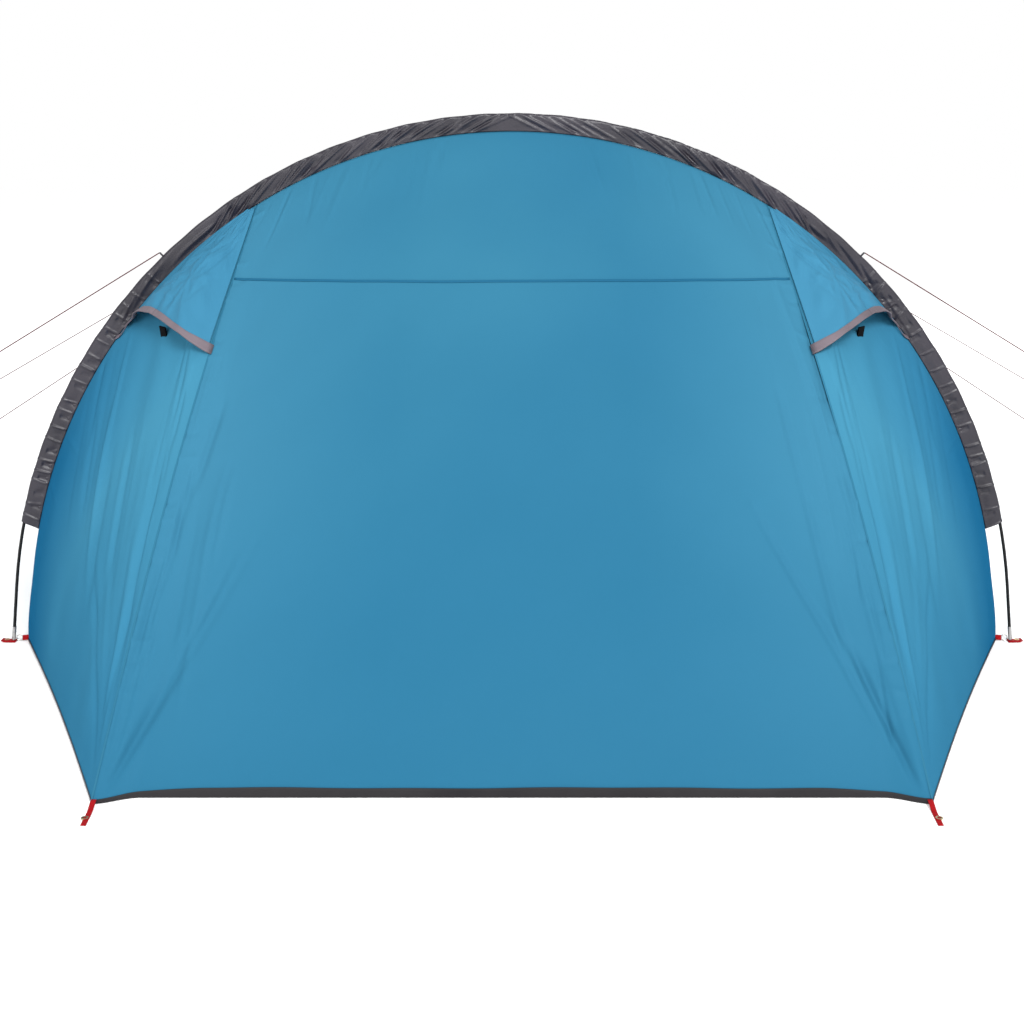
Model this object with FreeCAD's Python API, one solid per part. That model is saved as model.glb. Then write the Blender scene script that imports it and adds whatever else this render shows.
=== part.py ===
import FreeCAD, Part
import math
import os
from FreeCAD import Vector

# A tunnel tent on three equal hoops, in millimetres. +Z is up and X runs across the tent.
# The rear end wall faces -Y and the front door faces +Y. The ground is Z = 0.

# ---- Driving dimensions ----
HOOP_RADIUS = 1300.0          # outer face of the flysheet, seen from the end
HOOP_CENTRE_Z = 80.0          # the hoop is a little more than half a circle
CLOTH = 1.5                   # thickness that every sheet of cloth is drawn with
BAY_LENGTHS = (1630.0, 1410.0)    # rear hoop to middle hoop, middle hoop to front hoop
REAR_RUN = 983.0              # how far the rear wall reaches beyond the rear hoop, on the ground
FRONT_RUN = 550.0             # the same for the front wall
CORNER_HALF_WIDTH = 850.0     # half the width of both end walls at the ground
HEM_HEIGHT = 16.0             # the dark band along the foot of the end walls
STRAP_REACH = 130.0           # corner straps reach this far beyond the end walls

POLE_LINE_RADIUS = 1342.0     # centre line of the pole, in its sleeve
POLE_RADIUS = 4.25
FERRULE_RADIUS = 5.25
POLE_SECTIONS = 7
POLE_ARC_END = 87.0           # degrees from straight up where the pole runs straight to its foot
SLEEVE_END = 80.0             # degrees from straight up where the sleeve stops
ROOF_HALF_ANGLE = 35.0        # the roof panel lies between the two wall panels
REAR_SEAM_ANGLE = 32.0        # where the seams of the rear panel leave the hoop

GUY_ANGLE = 44.5              # where a guy line leaves the hoop
GUY_SLOPES = (0.62, 0.585, 0.66)  # fall of each pair of guy lines, rear to front
GUY_RADIUS = 1.5
GUY_STRAND_GAP = 20.0         # between the two strands of the adjusting loop
RUNNER_FROM_GROUND = 600.0    # along the line
TAIL_FROM_GROUND = 750.0      # where the returning strand ends

# ---- Places that follow from them ----
TOTAL_LENGTH = sum(BAY_LENGTHS) + REAR_RUN + FRONT_RUN + 2 * STRAP_REACH
REAR_EDGE_Y = STRAP_REACH - TOTAL_LENGTH / 2
FRONT_EDGE_Y = -REAR_EDGE_Y
REAR_HOOP_Y = REAR_EDGE_Y + REAR_RUN
HOOP_YS = (REAR_HOOP_Y, REAR_HOOP_Y + BAY_LENGTHS[0], REAR_HOOP_Y + sum(BAY_LENGTHS))
FRONT_HOOP_Y = HOOP_YS[2]
CENTRE = Vector(0, 0, HOOP_CENTRE_Z)
ALONG = Vector(0, 1, 0)
SIDES = {"left": -1, "right": 1}


def save(name, shape):
    """Write one named piece, after testing that every solid in it is sound."""
    assert shape.Solids, name + " has no solid"
    assert shape.isValid(), name + " is not valid"
    assert all(s.Volume > 0 for s in shape.Solids), name + " is inside out"
    shape.exportStep("parts/" + name + ".step")


def several(shapes):
    return Part.makeCompound(list(shapes))


def mirrored(shape):
    """The same piece on the other side of the tent."""
    return shape.mirror(Vector(0, 0, 0), Vector(1, 0, 0))


def on_hoop(radius, degrees, y):
    """A point in a hoop's plane, by its angle from straight up, positive towards +X."""
    a = math.radians(degrees)
    return Vector(radius * math.sin(a), y, HOOP_CENTRE_Z + radius * math.cos(a))


def ground_angle(radius, height):
    """The angle from straight up at which a hoop of this radius is at this height."""
    return math.degrees(math.acos((height - HOOP_CENTRE_Z) / radius))


def arc(radius, start, end, y):
    middle = on_hoop(radius, (start + end) / 2, y)
    return Part.Arc(on_hoop(radius, start, y), middle, on_hoop(radius, end, y)).toShape()


def line(a, b):
    return Part.LineSegment(a, b).toShape()


def box(low, high):
    size = high - low
    return Part.makeBox(size.x, size.y, size.z, low)


def ring(centre, axis, inner, outer, height):
    """A flat ring standing on its centre."""
    disc = Part.makeCylinder(outer, height, centre, axis)
    return disc.cut(Part.makeCylinder(inner, height, centre, axis))


# ---- Cloth ----

def curved_sheet(start, end, y_from, y_to):
    """A piece of the tunnel between two angles."""
    inner = HOOP_RADIUS - CLOTH
    edges = [
        arc(HOOP_RADIUS, start, end, y_from),
        line(on_hoop(HOOP_RADIUS, end, y_from), on_hoop(inner, end, y_from)),
        arc(inner, end, start, y_from),
        line(on_hoop(inner, start, y_from), on_hoop(HOOP_RADIUS, start, y_from)),
    ]
    return Part.Face(Part.Wire(edges)).extrude(Vector(0, y_to - y_from, 0))


def ends(edge):
    return edge.valueAt(edge.FirstParameter), edge.valueAt(edge.LastParameter)


def ruled_sheet(outer_a, outer_b, inner_a, inner_b):
    """A thin solid between two ruled faces. Edges a and b run the same way."""
    pairs = [(outer_a, outer_b), (inner_a, inner_b), (outer_a, inner_a), (outer_b, inner_b)]
    for k in (0, 1):
        out_a, out_b = ends(outer_a)[k], ends(outer_b)[k]
        in_a, in_b = ends(inner_a)[k], ends(inner_b)[k]
        pairs.append((line(out_a, out_b), line(in_a, in_b)))
    shell = Part.makeShell([Part.makeRuledSurface(a, b) for a, b in pairs])
    shell.sewShape()
    solid = Part.makeSolid(shell)
    if solid.Volume < 0:
        solid.reverse()
    return solid


def end_gusset(hoop_y, edge_y, top_angle, top_gap=0.9):
    """The right-hand side panel of an end wall, from the hoop to the corner seam."""
    outwards = 1 if edge_y > hoop_y else -1
    inner = HOOP_RADIUS - CLOTH
    foot_angle = ground_angle(HOOP_RADIUS, HEM_HEIGHT / 2)
    corner = Vector(CORNER_HALF_WIDTH, edge_y, HEM_HEIGHT)
    inner_corner = corner - Vector(0, outwards * CLOTH, 0)
    return ruled_sheet(
        arc(HOOP_RADIUS, top_angle + top_gap, foot_angle, hoop_y),
        line(on_hoop(HOOP_RADIUS, top_angle, hoop_y), corner),
        arc(inner, top_angle + top_gap, foot_angle, hoop_y),
        line(on_hoop(inner, top_angle, hoop_y), inner_corner),
    )


def rear_panel():
    """The large middle panel of the rear wall, from the hoop to the ground."""
    corner = Vector(CORNER_HALF_WIDTH, REAR_EDGE_Y, HEM_HEIGHT)
    across = Vector(-2 * CORNER_HALF_WIDTH, 0, 0)
    in_step = Vector(0, CLOTH, 0)
    return ruled_sheet(
        arc(HOOP_RADIUS, REAR_SEAM_ANGLE, -REAR_SEAM_ANGLE, REAR_HOOP_Y),
        line(corner, corner + across),
        arc(HOOP_RADIUS - CLOTH, REAR_SEAM_ANGLE, -REAR_SEAM_ANGLE, REAR_HOOP_Y),
        line(corner + in_step, corner + across + in_step),
    )


def hem_band(x_from, x_to, edge_y, foot_z):
    """A dark band along the foot of an end wall."""
    return box(Vector(x_from, edge_y - 2.0, foot_z), Vector(x_to, edge_y + 2.0, HEM_HEIGHT - 1.0))


def groundsheet():
    """The floor, cut to the plan of the tent and a little inside its walls."""
    inset = 14.0
    half_width = HOOP_RADIUS - 20.0
    corner_half = CORNER_HALF_WIDTH - inset
    right = [
        Vector(corner_half, REAR_EDGE_Y + inset, 0),
        Vector(half_width, REAR_HOOP_Y + inset, 0),
        Vector(half_width, FRONT_HOOP_Y - inset, 0),
        Vector(corner_half, FRONT_EDGE_Y - 3 * inset, 0),
    ]
    left = [Vector(-p.x, p.y, 0) for p in reversed(right)]
    outline = Part.makePolygon(right + left + [right[0]])
    return Part.Face(outline).extrude(Vector(0, 0, CLOTH))


# ---- The rear vents, drawn for the right side ----
# A hood covers the top of the gusset, between the hoop and the seam. Its free edge stands off.
VENT_HOOP_ANGLE = 52.3        # where the hood's free edge meets the hoop
VENT_SEAM_SHARE = 0.29        # how far down the seam the free edge ends
HOOD_CLEARANCE = 9.0          # above the gusset when the hood is shut
HOOD_OPEN_ANGLE = 5.0
BINDING_WIDTH = 18.0

seam_top = on_hoop(HOOP_RADIUS, REAR_SEAM_ANGLE, REAR_HOOP_Y)
seam_foot = Vector(CORNER_HALF_WIDTH, REAR_EDGE_Y, HEM_HEIGHT)
vent_hoop_end = on_hoop(HOOP_RADIUS, VENT_HOOP_ANGLE, REAR_HOOP_Y)
vent_seam_end = seam_top + (seam_foot - seam_top) * VENT_SEAM_SHARE
vent_outwards = (vent_seam_end - seam_top).cross(vent_hoop_end - seam_top).normalize()
if vent_outwards.z < 0:
    vent_outwards = -vent_outwards
free_edge = (vent_seam_end - vent_hoop_end).normalize()
down_hood = vent_outwards.cross(free_edge).normalize()
if down_hood.z > 0:
    down_hood = -down_hood
hood_apex = seam_top + vent_outwards * HOOD_CLEARANCE
SEAM_INSET = 6.0              # the hood's long sides stop this far from the seam and the sleeve


def hood_plate(from_share, to_share, lift, thickness):
    """A cone-like strip of the shut hood, between two shares of the way to its free edge."""
    def hoop_side(share, depth):
        angle = REAR_SEAM_ANGLE + (VENT_HOOP_ANGLE - REAR_SEAM_ANGLE) * share
        point = on_hoop(HOOP_RADIUS, angle, REAR_HOOP_Y - 11.0)
        return point + vent_outwards * depth
    def seam_side(share, depth):
        point = seam_top + (vent_seam_end - seam_top) * share
        return point + vent_outwards * depth + Vector(SEAM_INSET, 0, 0)
    def side(at, depth):
        a, m, b = (at(s, depth) for s in (from_share, (from_share + to_share) / 2, to_share))
        return Part.Arc(a, m, b).toShape() if at is hoop_side else line(a, b)
    return ruled_sheet(
        side(hoop_side, lift + thickness), side(seam_side, lift + thickness),
        side(hoop_side, lift), side(seam_side, lift),
    )


def opened(shape):
    """Turn a hood piece from shut to its open place. It hinges at its top, along the free edge."""
    turned = shape.copy()
    turned.rotate(hood_apex, hood_axis, HOOD_OPEN_ANGLE)
    return turned


# The axis points so that a positive turn lifts the free edge away from the gusset.
hood_axis = free_edge if down_hood.cross(vent_outwards).dot(free_edge) > 0 else -free_edge


def vent_cutter(shrink):
    """A three-sided prism through the gusset, for the mesh opening under the hood."""
    a = seam_top + (vent_hoop_end - seam_top) * 0.5 + (vent_seam_end - seam_top) * 0.12
    b = seam_top + (vent_hoop_end - seam_top) * 0.86 + (vent_seam_end - seam_top) * 0.06
    c = seam_top + (vent_hoop_end - seam_top) * 0.1 + (vent_seam_end - seam_top) * 0.8
    middle = (a + b + c) * (1 / 3)
    corners = [p + (middle - p) * shrink - vent_outwards * 80.0 for p in (a, b, c)]
    return Part.Face(Part.makePolygon(corners + corners[:1])).extrude(vent_outwards * 160.0)


PROP_LENGTH = 54.0
PROP_WIDTH = 26.0
PROP_THICKNESS = 4.0
PROP_LEAN = 40.0              # degrees from square to the gusset, towards the hood
PROP_BELOW = 50.0             # the pivot is this far below the hood's free edge
prop_middle = vent_seam_end + (vent_hoop_end - vent_seam_end) * 0.467


def vent_prop(gusset):
    """The stiff tab that holds the hood open. It leans from its pivot on the gusset to the binding."""
    below = prop_middle + down_hood * PROP_BELOW
    probe = line(below + vent_outwards * 60.0, below - vent_outwards * 100.0)
    touches = [v.Point for v in probe.common(gusset).Vertexes]
    surface = max(touches, key=vent_outwards.dot)
    pivot = surface + vent_outwards * (PROP_THICKNESS / 2 + 2.0)
    lean = math.radians(PROP_LEAN)
    up = vent_outwards * math.cos(lean) - down_hood * math.sin(lean)
    half = free_edge * (PROP_WIDTH / 2)
    thick = up.cross(free_edge).normalize() * (PROP_THICKNESS / 2)
    outline = Part.makePolygon([pivot - half - thick, pivot + half - thick,
                                pivot + half + thick, pivot - half + thick, pivot - half - thick])
    return Part.Face(outline).extrude(up * PROP_LENGTH)


# ---- Poles, sleeves and guy lines ----

def ring_sector(profile, start, end):
    """Turn a profile drawn at the top of a hoop along the hoop."""
    profile = profile.copy()
    profile.rotate(CENTRE, ALONG, start)
    return profile.revolve(CENTRE, ALONG, end - start)


def disc_on_hoop(radius, y):
    centre = Vector(0, y, HOOP_CENTRE_Z + POLE_LINE_RADIUS)
    circle = Part.Circle(centre, Vector(1, 0, 0), radius)
    return Part.Face(Part.Wire(circle.toShape()))


def sleeve(y):
    """The pole sleeve: a round tunnel on a flat tail that is sewn to the flysheet."""
    top = HOOP_CENTRE_Z + POLE_LINE_RADIUS
    tail = HOOP_CENTRE_Z + HOOP_RADIUS + 0.1
    bulge, tail_half = 7.0, 3.0
    shoulder = bulge * 0.8
    drop = bulge * 0.6
    edges = [
        Part.Arc(Vector(0, y - shoulder, top - drop), Vector(0, y, top + bulge),
                 Vector(0, y + shoulder, top - drop)).toShape(),
        line(Vector(0, y + shoulder, top - drop), Vector(0, y + tail_half, tail)),
        line(Vector(0, y + tail_half, tail), Vector(0, y - tail_half, tail)),
        line(Vector(0, y - tail_half, tail), Vector(0, y - shoulder, top - drop)),
    ]
    profile = Part.Face(Part.Wire(edges)).cut(disc_on_hoop(FERRULE_RADIUS + 0.4, y)).Faces[0]
    return ring_sector(profile, -SLEEVE_END, SLEEVE_END)


POLE_FOOT_TOP = 40.0          # the metal tip starts at this height
straight_start = on_hoop(POLE_LINE_RADIUS, POLE_ARC_END, 0)
straight_way = Vector(math.cos(math.radians(POLE_ARC_END)), 0, -math.sin(math.radians(POLE_ARC_END)))


def along_foot(height, y):
    """The point of a pole's straight foot at this height, on the right side."""
    run = (straight_start.z - height) / -straight_way.z
    return straight_start + straight_way * run + Vector(0, y, 0)


def pole_rods(y):
    """The glass-fibre sections of one hoop, end to end."""
    step = 2 * POLE_ARC_END / POLE_SECTIONS
    rods = []
    for n in range(POLE_SECTIONS):
        start = -POLE_ARC_END + n * step
        rod = ring_sector(disc_on_hoop(POLE_RADIUS, y), start, start + step)
        if n in (0, POLE_SECTIONS - 1):
            top, foot = along_foot(straight_start.z, y), along_foot(POLE_FOOT_TOP, y)
            straight = Part.makeCylinder(POLE_RADIUS, (foot - top).Length, top, foot - top)
            rod = rod.fuse(mirrored(straight) if n == 0 else straight)
        rods.append(rod)
    return rods


def pole_metal(y):
    """The ferrules between the sections and the two metal tips with their pins."""
    step = 2 * POLE_ARC_END / POLE_SECTIONS
    half = math.degrees(30.0 / POLE_LINE_RADIUS)
    tube = disc_on_hoop(FERRULE_RADIUS, y).cut(disc_on_hoop(POLE_RADIUS + 0.02, y)).Faces[0]
    pieces = []
    for n in range(1, POLE_SECTIONS):
        joint = -POLE_ARC_END + n * step
        pieces.append(ring_sector(tube, joint - half, joint + half))
    top, shoulder, end = along_foot(POLE_FOOT_TOP, y), along_foot(6.0, y), along_foot(1.0, y)
    tip = Part.makeCylinder(FERRULE_RADIUS, (shoulder - top).Length, top, shoulder - top)
    tip = tip.fuse(Part.makeCylinder(2.4, (end - shoulder).Length, shoulder, end - shoulder))
    return pieces + [tip, mirrored(tip)]


def fall(slope):
    """The direction of a right-hand guy line, from the hoop down to the ground."""
    return Vector(1, 0, -slope).normalize()


GUY_END_Z = 3.0
TAB_LENGTH = 12.0
tab_start_radius = POLE_LINE_RADIUS + 7.2


def guy_points(y, slope):
    """The guy line's route: down to the peg loop, round it and back up through the runner."""
    start = on_hoop(tab_start_radius + TAB_LENGTH, GUY_ANGLE, y)
    run = (start.z - GUY_END_Z) / slope
    turn = Vector(start.x + run, y - GUY_STRAND_GAP / 2, GUY_END_Z)
    back = turn + Vector(0, GUY_STRAND_GAP, 0)
    way_up = (start - turn).normalize()
    return [start, turn, back, back + way_up * TAIL_FROM_GROUND]


def rounded_tube(points, radius):
    """A tube of straight runs joined by arcs that touch both runs."""
    edges = []
    here = points[0]
    for before, corner, after in zip(points, points[1:], points[2:]):
        arrive, leave = (corner - before), (after - corner)
        half_turn = arrive.getAngle(leave) / 2
        cut = 0.45 * min(arrive.Length, leave.Length)
        bend = cut / math.tan(half_turn)
        arrive.normalize()
        leave.normalize()
        first, last = corner - arrive * cut, corner + leave * cut
        centre = corner + (leave - arrive).normalize() * (bend / math.cos(half_turn))
        middle = centre + (corner - centre).normalize() * bend
        edges += [line(here, first), Part.Arc(first, middle, last).toShape()]
        here = last
    edges.append(line(here, points[-1]))
    path = Part.Wire(edges)
    way = points[1] - points[0]
    profile = Part.Wire(Part.Circle(points[0], way, radius).toShape())
    return path.makePipeShell([profile], True, False)


def guy_tab(y):
    """A short webbing loop on the outside of the sleeve, on the right side."""
    low = Vector(-1.5, y - 7.0, HOOP_CENTRE_Z + tab_start_radius)
    tab = box(low, low + Vector(3.0, 14.0, TAB_LENGTH))
    tab.rotate(CENTRE, ALONG, GUY_ANGLE)
    return tab


def runner(y, slope):
    """The line runner: a plate with a hole for each strand, square to the guy line."""
    points = guy_points(y, slope)
    way_up = (points[0] - points[1]).normalize()
    middle = (points[1] + points[2]) * 0.5 + way_up * RUNNER_FROM_GROUND
    across = (points[2] - points[1]).normalize()
    lift = way_up.cross(across).normalize()
    half_thick, half_height, half_length = 2.5, 6.0, 12.0
    flat = [middle + across * (half_length * a) + lift * (half_height * b) - way_up * half_thick
            for a, b in ((-1, -1), (1, -1), (1, 1), (-1, 1))]
    plate = Part.Face(Part.makePolygon(flat + flat[:1])).extrude(way_up * (2 * half_thick))
    for end in (-1, 1):
        at = middle + across * (end * half_length) - way_up * half_thick
        plate = plate.fuse(Part.makeCylinder(half_height, 2 * half_thick, at, way_up))
    for strand in points[1:3]:
        hole_at = strand + way_up * (RUNNER_FROM_GROUND - 10.0)
        plate = plate.cut(Part.makeCylinder(GUY_RADIUS + 0.7, 20.0, hole_at, way_up))
    return plate.removeSplitter()


# ---- Webbing at the ground ----
FOOT_STRAP_END_X = 1379.0
PEG_HOLE_RADIUS = 4.5
FOOT_EYE_ASIDE = 6.0          # a foot strap's peg hole is beside the guy line that runs above it
pole_foot = along_foot(3.0, 0)


def foot_eye(y):
    """Right side: the centre of the peg hole in the foot strap of the hoop at y."""
    return Vector(FOOT_STRAP_END_X - 11.0, y + FOOT_EYE_ASIDE, 0)


def foot_straps(y):
    """Right side: the short inner strap, and the outer strap with the pole pin and the peg eyelet."""
    inner = box(Vector(1302.0, y - 1.2, 2.0), Vector(1321.0, y + 1.2, 16.0))
    outer = box(Vector(1341.5, y - 14.0, 0.0), Vector(FOOT_STRAP_END_X, y + 14.0, 3.0))
    outer = outer.cut(Part.makeCylinder(3.0, 3.0, Vector(pole_foot.x, y, 0)))
    eye = foot_eye(y)
    outer = outer.cut(Part.makeCylinder(PEG_HOLE_RADIUS + 1.5, 3.0, eye))
    return [inner, outer]


def foot_ring(y):
    return Part.makeTorus(8.0, 1.6, Vector(1331.5, y, 10.0), ALONG)


def corner_strap(edge_y):
    """Right side: a flat strap from the corner, straight out from the end wall."""
    outwards = 1 if edge_y > 0 else -1
    near = edge_y + outwards * 6.0
    far = edge_y + outwards * STRAP_REACH
    low = Vector(CORNER_HALF_WIDTH - 12.0, min(near, far), 0.0)
    strap = box(low, Vector(CORNER_HALF_WIDTH, max(near, far), 2.4))
    eye = Vector(CORNER_HALF_WIDTH - 6.0, edge_y + outwards * 98.0, 0)
    pad = Part.makeCylinder(9.5, 2.4, eye)
    return strap.fuse(pad).removeSplitter().cut(Part.makeCylinder(PEG_HOLE_RADIUS + 1.5, 2.4, eye)), eye


def peg_eyelet(at, height):
    """A brass eyelet: a tube through the strap with a thin rim above it."""
    up = Vector(0, 0, 1)
    tube = ring(Vector(at.x, at.y, 0.2), up, PEG_HOLE_RADIUS, PEG_HOLE_RADIUS + 1.45, height)
    rim = ring(Vector(at.x, at.y, height + 0.2), up, PEG_HOLE_RADIUS, PEG_HOLE_RADIUS + 3.0, 0.8)
    return tube.fuse(rim).removeSplitter()


def side_piping(hoop_y, edge_y):
    """Right side: the piping along the lower edge of a gusset, lying on the ground."""
    outwards = 1 if edge_y > hoop_y else -1
    start = Vector(CORNER_HALF_WIDTH + 3.0, edge_y - outwards * 6.0, 3.2)
    end = Vector(HOOP_RADIUS - 8.0, hoop_y + outwards * 9.0, 3.2)
    return Part.makeCylinder(2.5, (end - start).Length, start, end - start)


# ---- The front end, with a door that lifts up as an awning ----
LINTEL_Z = 1050.0
lintel_half = math.sqrt(HOOP_RADIUS ** 2 - (LINTEL_Z - HOOP_CENTRE_Z) ** 2)
lintel_angle = ground_angle(HOOP_RADIUS, LINTEL_Z)
front_top = Vector(0, FRONT_HOOP_Y, LINTEL_Z)
front_down = Vector(0, FRONT_RUN, HEM_HEIGHT - LINTEL_Z)
SLOPE_LENGTH = front_down.Length
front_down.normalize()
front_out = Vector(1, 0, 0).cross(front_down)     # away from the tent
DOOR_TOP_HALF = 560.0
DOOR_FOOT_HALF = 600.0
DOOR_GAP = 1.5                # between the door's edge and the panel beside it
DOOR_DROP = 6.0               # the door starts this far below the lintel
ZIP_WIDTH = 12.0
ZIP_THICKNESS = 1.6


def on_slope(x, down, out=0.0):
    """A point of the sloping front: across, down the slope, and out from its outer face."""
    return front_top + Vector(x, 0, 0) + front_down * down + front_out * out


def slope_plate(corners, out, thickness):
    points = [on_slope(x, down, out) for x, down in corners]
    return Part.Face(Part.makePolygon(points + points[:1])).extrude(front_out * thickness)


def door_half_width(down):
    return DOOR_TOP_HALF + (DOOR_FOOT_HALF - DOOR_TOP_HALF) * down / SLOPE_LENGTH


def flank_half_width(down):
    """Where a flank ends beside the gusset, less the room that their seam takes."""
    return lintel_half + (CORNER_HALF_WIDTH - lintel_half) * down / SLOPE_LENGTH - 2.5


def front_flank():
    """Right side: the fixed panel between the door and the corner seam, and the lintel above."""
    corners = [(door_half_width(DOOR_DROP) + DOOR_GAP, DOOR_DROP), (flank_half_width(DOOR_DROP), DOOR_DROP),
               (flank_half_width(SLOPE_LENGTH), SLOPE_LENGTH), (DOOR_FOOT_HALF + DOOR_GAP, SLOPE_LENGTH)]
    return slope_plate(corners, -CLOTH, CLOTH)


def front_lunette():
    """The upright panel above the door, and the narrow lintel strip that the door hangs from."""
    radius = HOOP_RADIUS - CLOTH - 0.2
    edge = ground_angle(radius, LINTEL_Z)
    chord = line(on_hoop(radius, edge, FRONT_HOOP_Y), on_hoop(radius, -edge, FRONT_HOOP_Y))
    outline = Part.Wire([arc(radius, -edge, edge, FRONT_HOOP_Y), chord])
    panel = Part.Face(outline).extrude(Vector(0, -CLOTH, 0))
    half = lintel_half - 4.0
    strip = slope_plate([(-half, 0), (half, 0), (half, DOOR_DROP - 0.5), (-half, DOOR_DROP - 0.5)],
                        -CLOTH, CLOTH)
    return several([panel.fuse(strip)])


def front_door():
    corners = [(-door_half_width(DOOR_DROP), DOOR_DROP), (door_half_width(DOOR_DROP), DOOR_DROP),
               (DOOR_FOOT_HALF, SLOPE_LENGTH), (-DOOR_FOOT_HALF, SLOPE_LENGTH)]
    return slope_plate(corners, -CLOTH, CLOTH)


def door_zip(sign):
    """One side zip, sewn to the edge of the flank beside the door."""
    top, foot = 40.0, SLOPE_LENGTH - 20.0
    near = DOOR_GAP + 1.0
    corners = [(sign * (door_half_width(top) + near), top),
               (sign * (door_half_width(top) + near + ZIP_WIDTH), top),
               (sign * (door_half_width(foot) + near + ZIP_WIDTH), foot),
               (sign * (door_half_width(foot) + near), foot)]
    return slope_plate(corners, 0.1, ZIP_THICKNESS)


ZIP_TRAVEL = 1000.0
SLIDER_DOWN = SLOPE_LENGTH - 60.0
SLIDER_LIFT = ZIP_THICKNESS + 0.6      # underside of the slider above the slope
PULLER_DOWN = SLIDER_DOWN + 1.0        # the puller's pin, down the slope
PULLER_OUT = SLIDER_LIFT + 5.8         # and out from it
slider_x = door_half_width(SLIDER_DOWN) + DOOR_GAP + 1.0 + ZIP_WIDTH / 2
zip_top = on_slope(door_half_width(40.0), 40.0)
zip_foot = on_slope(door_half_width(SLOPE_LENGTH - 20.0), SLOPE_LENGTH - 20.0)
zip_way = (zip_top - zip_foot).normalize()


def door_slider(sign):
    """The slider body, with a small bridge that the puller hangs from."""
    x = sign * slider_x
    body = slope_plate([(x - 5.0, SLIDER_DOWN - 8.0), (x + 5.0, SLIDER_DOWN - 8.0),
                        (x + 4.0, SLIDER_DOWN + 8.0), (x - 4.0, SLIDER_DOWN + 8.0)], SLIDER_LIFT, 4.0)
    bridge = slope_plate([(x - 1.5, SLIDER_DOWN - 5.0), (x + 1.5, SLIDER_DOWN - 5.0),
                          (x + 1.5, SLIDER_DOWN + 5.0), (x - 1.5, SLIDER_DOWN + 5.0)],
                         SLIDER_LIFT + 3.9, 3.6)
    pivot = on_slope(x - 6.0, PULLER_DOWN, PULLER_OUT)
    return body.fuse(bridge).cut(Part.makeCylinder(1.0, 12.0, pivot, Vector(1, 0, 0)))


def door_puller(sign):
    """The puller: a short pin in the slider's bridge, two cheeks and a flat tab below it."""
    x = sign * slider_x
    low = PULLER_OUT - 0.9
    pin = Part.makeCylinder(0.8, 8.0, on_slope(x - 4.0, PULLER_DOWN, PULLER_OUT), Vector(1, 0, 0))
    top, foot = PULLER_DOWN - 0.9, PULLER_DOWN + 11.0
    cheeks = [slope_plate([(x + s * 2.2, top), (x + s * 4.2, top), (x + s * 4.2, foot), (x + s * 2.2, foot)],
                          low, 1.8) for s in (-1, 1)]
    tab = slope_plate([(x - 4.2, foot - 1.0), (x + 4.2, foot - 1.0),
                       (x + 5.0, foot + 32.0), (x - 5.0, foot + 32.0)], low, 1.8)
    return pin.fuse(cheeks).fuse(tab)


def door_tie(sign):
    """A short tie and its toggle above the door, for the rolled-up door."""
    x = sign * 380.0
    y = FRONT_HOOP_Y + 0.2
    strap = box(Vector(x - 8.0, y, LINTEL_Z + 20.0), Vector(x + 8.0, y + 1.6, LINTEL_Z + 90.0))
    toggle = Part.makeCylinder(4.0, 36.0, Vector(x - 18.0, y + 5.8, LINTEL_Z + 26.0), Vector(1, 0, 0))
    return [strap, toggle]


# ---- The divider of the sleeping room, just behind the middle hoop ----
DIVIDER_Y = HOOP_YS[1] - 40.0
DIVIDER_RADIUS = HOOP_RADIUS - CLOTH - 6.0
INNER_DOOR_HALF = 300.0
INNER_DOOR_FOOT, INNER_DOOR_TOP = 60.0, 1100.0


def divider():
    foot = ground_angle(DIVIDER_RADIUS, 4.0)
    outline = Part.Wire([
        arc(DIVIDER_RADIUS, -foot, foot, DIVIDER_Y),
        line(on_hoop(DIVIDER_RADIUS, foot, DIVIDER_Y), on_hoop(DIVIDER_RADIUS, -foot, DIVIDER_Y)),
    ])
    sheet = Part.Face(outline).extrude(Vector(0, -CLOTH, 0))
    gap = DOOR_GAP
    hole = box(Vector(-INNER_DOOR_HALF - gap, DIVIDER_Y - 10.0, INNER_DOOR_FOOT - gap),
               Vector(INNER_DOOR_HALF + gap, DIVIDER_Y + 10.0, INNER_DOOR_TOP + gap))
    return sheet.cut(hole)


def inner_door():
    return box(Vector(-INNER_DOOR_HALF, DIVIDER_Y - CLOTH, INNER_DOOR_FOOT),
               Vector(INNER_DOOR_HALF, DIVIDER_Y, INNER_DOOR_TOP))


INNER_ZIP_X = INNER_DOOR_HALF + DOOR_GAP + 1.0


def inner_zip():
    low = Vector(INNER_ZIP_X, DIVIDER_Y + 0.1, INNER_DOOR_FOOT + 10.0)
    return box(low, low + Vector(10.0, 1.5, INNER_DOOR_TOP - INNER_DOOR_FOOT - 20.0))


def inner_slider():
    low = Vector(INNER_ZIP_X + 1.0, DIVIDER_Y + 2.4, INNER_DOOR_FOOT + 20.0)
    body = box(low, low + Vector(8.0, 4.0, 14.0))
    tab = box(low + Vector(2.5, 3.9, -22.0), low + Vector(5.5, 5.6, 10.0))
    return body.fuse(tab).removeSplitter()


def both_sides(pieces):
    return several(list(pieces) + [mirrored(p) for p in pieces])


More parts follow.
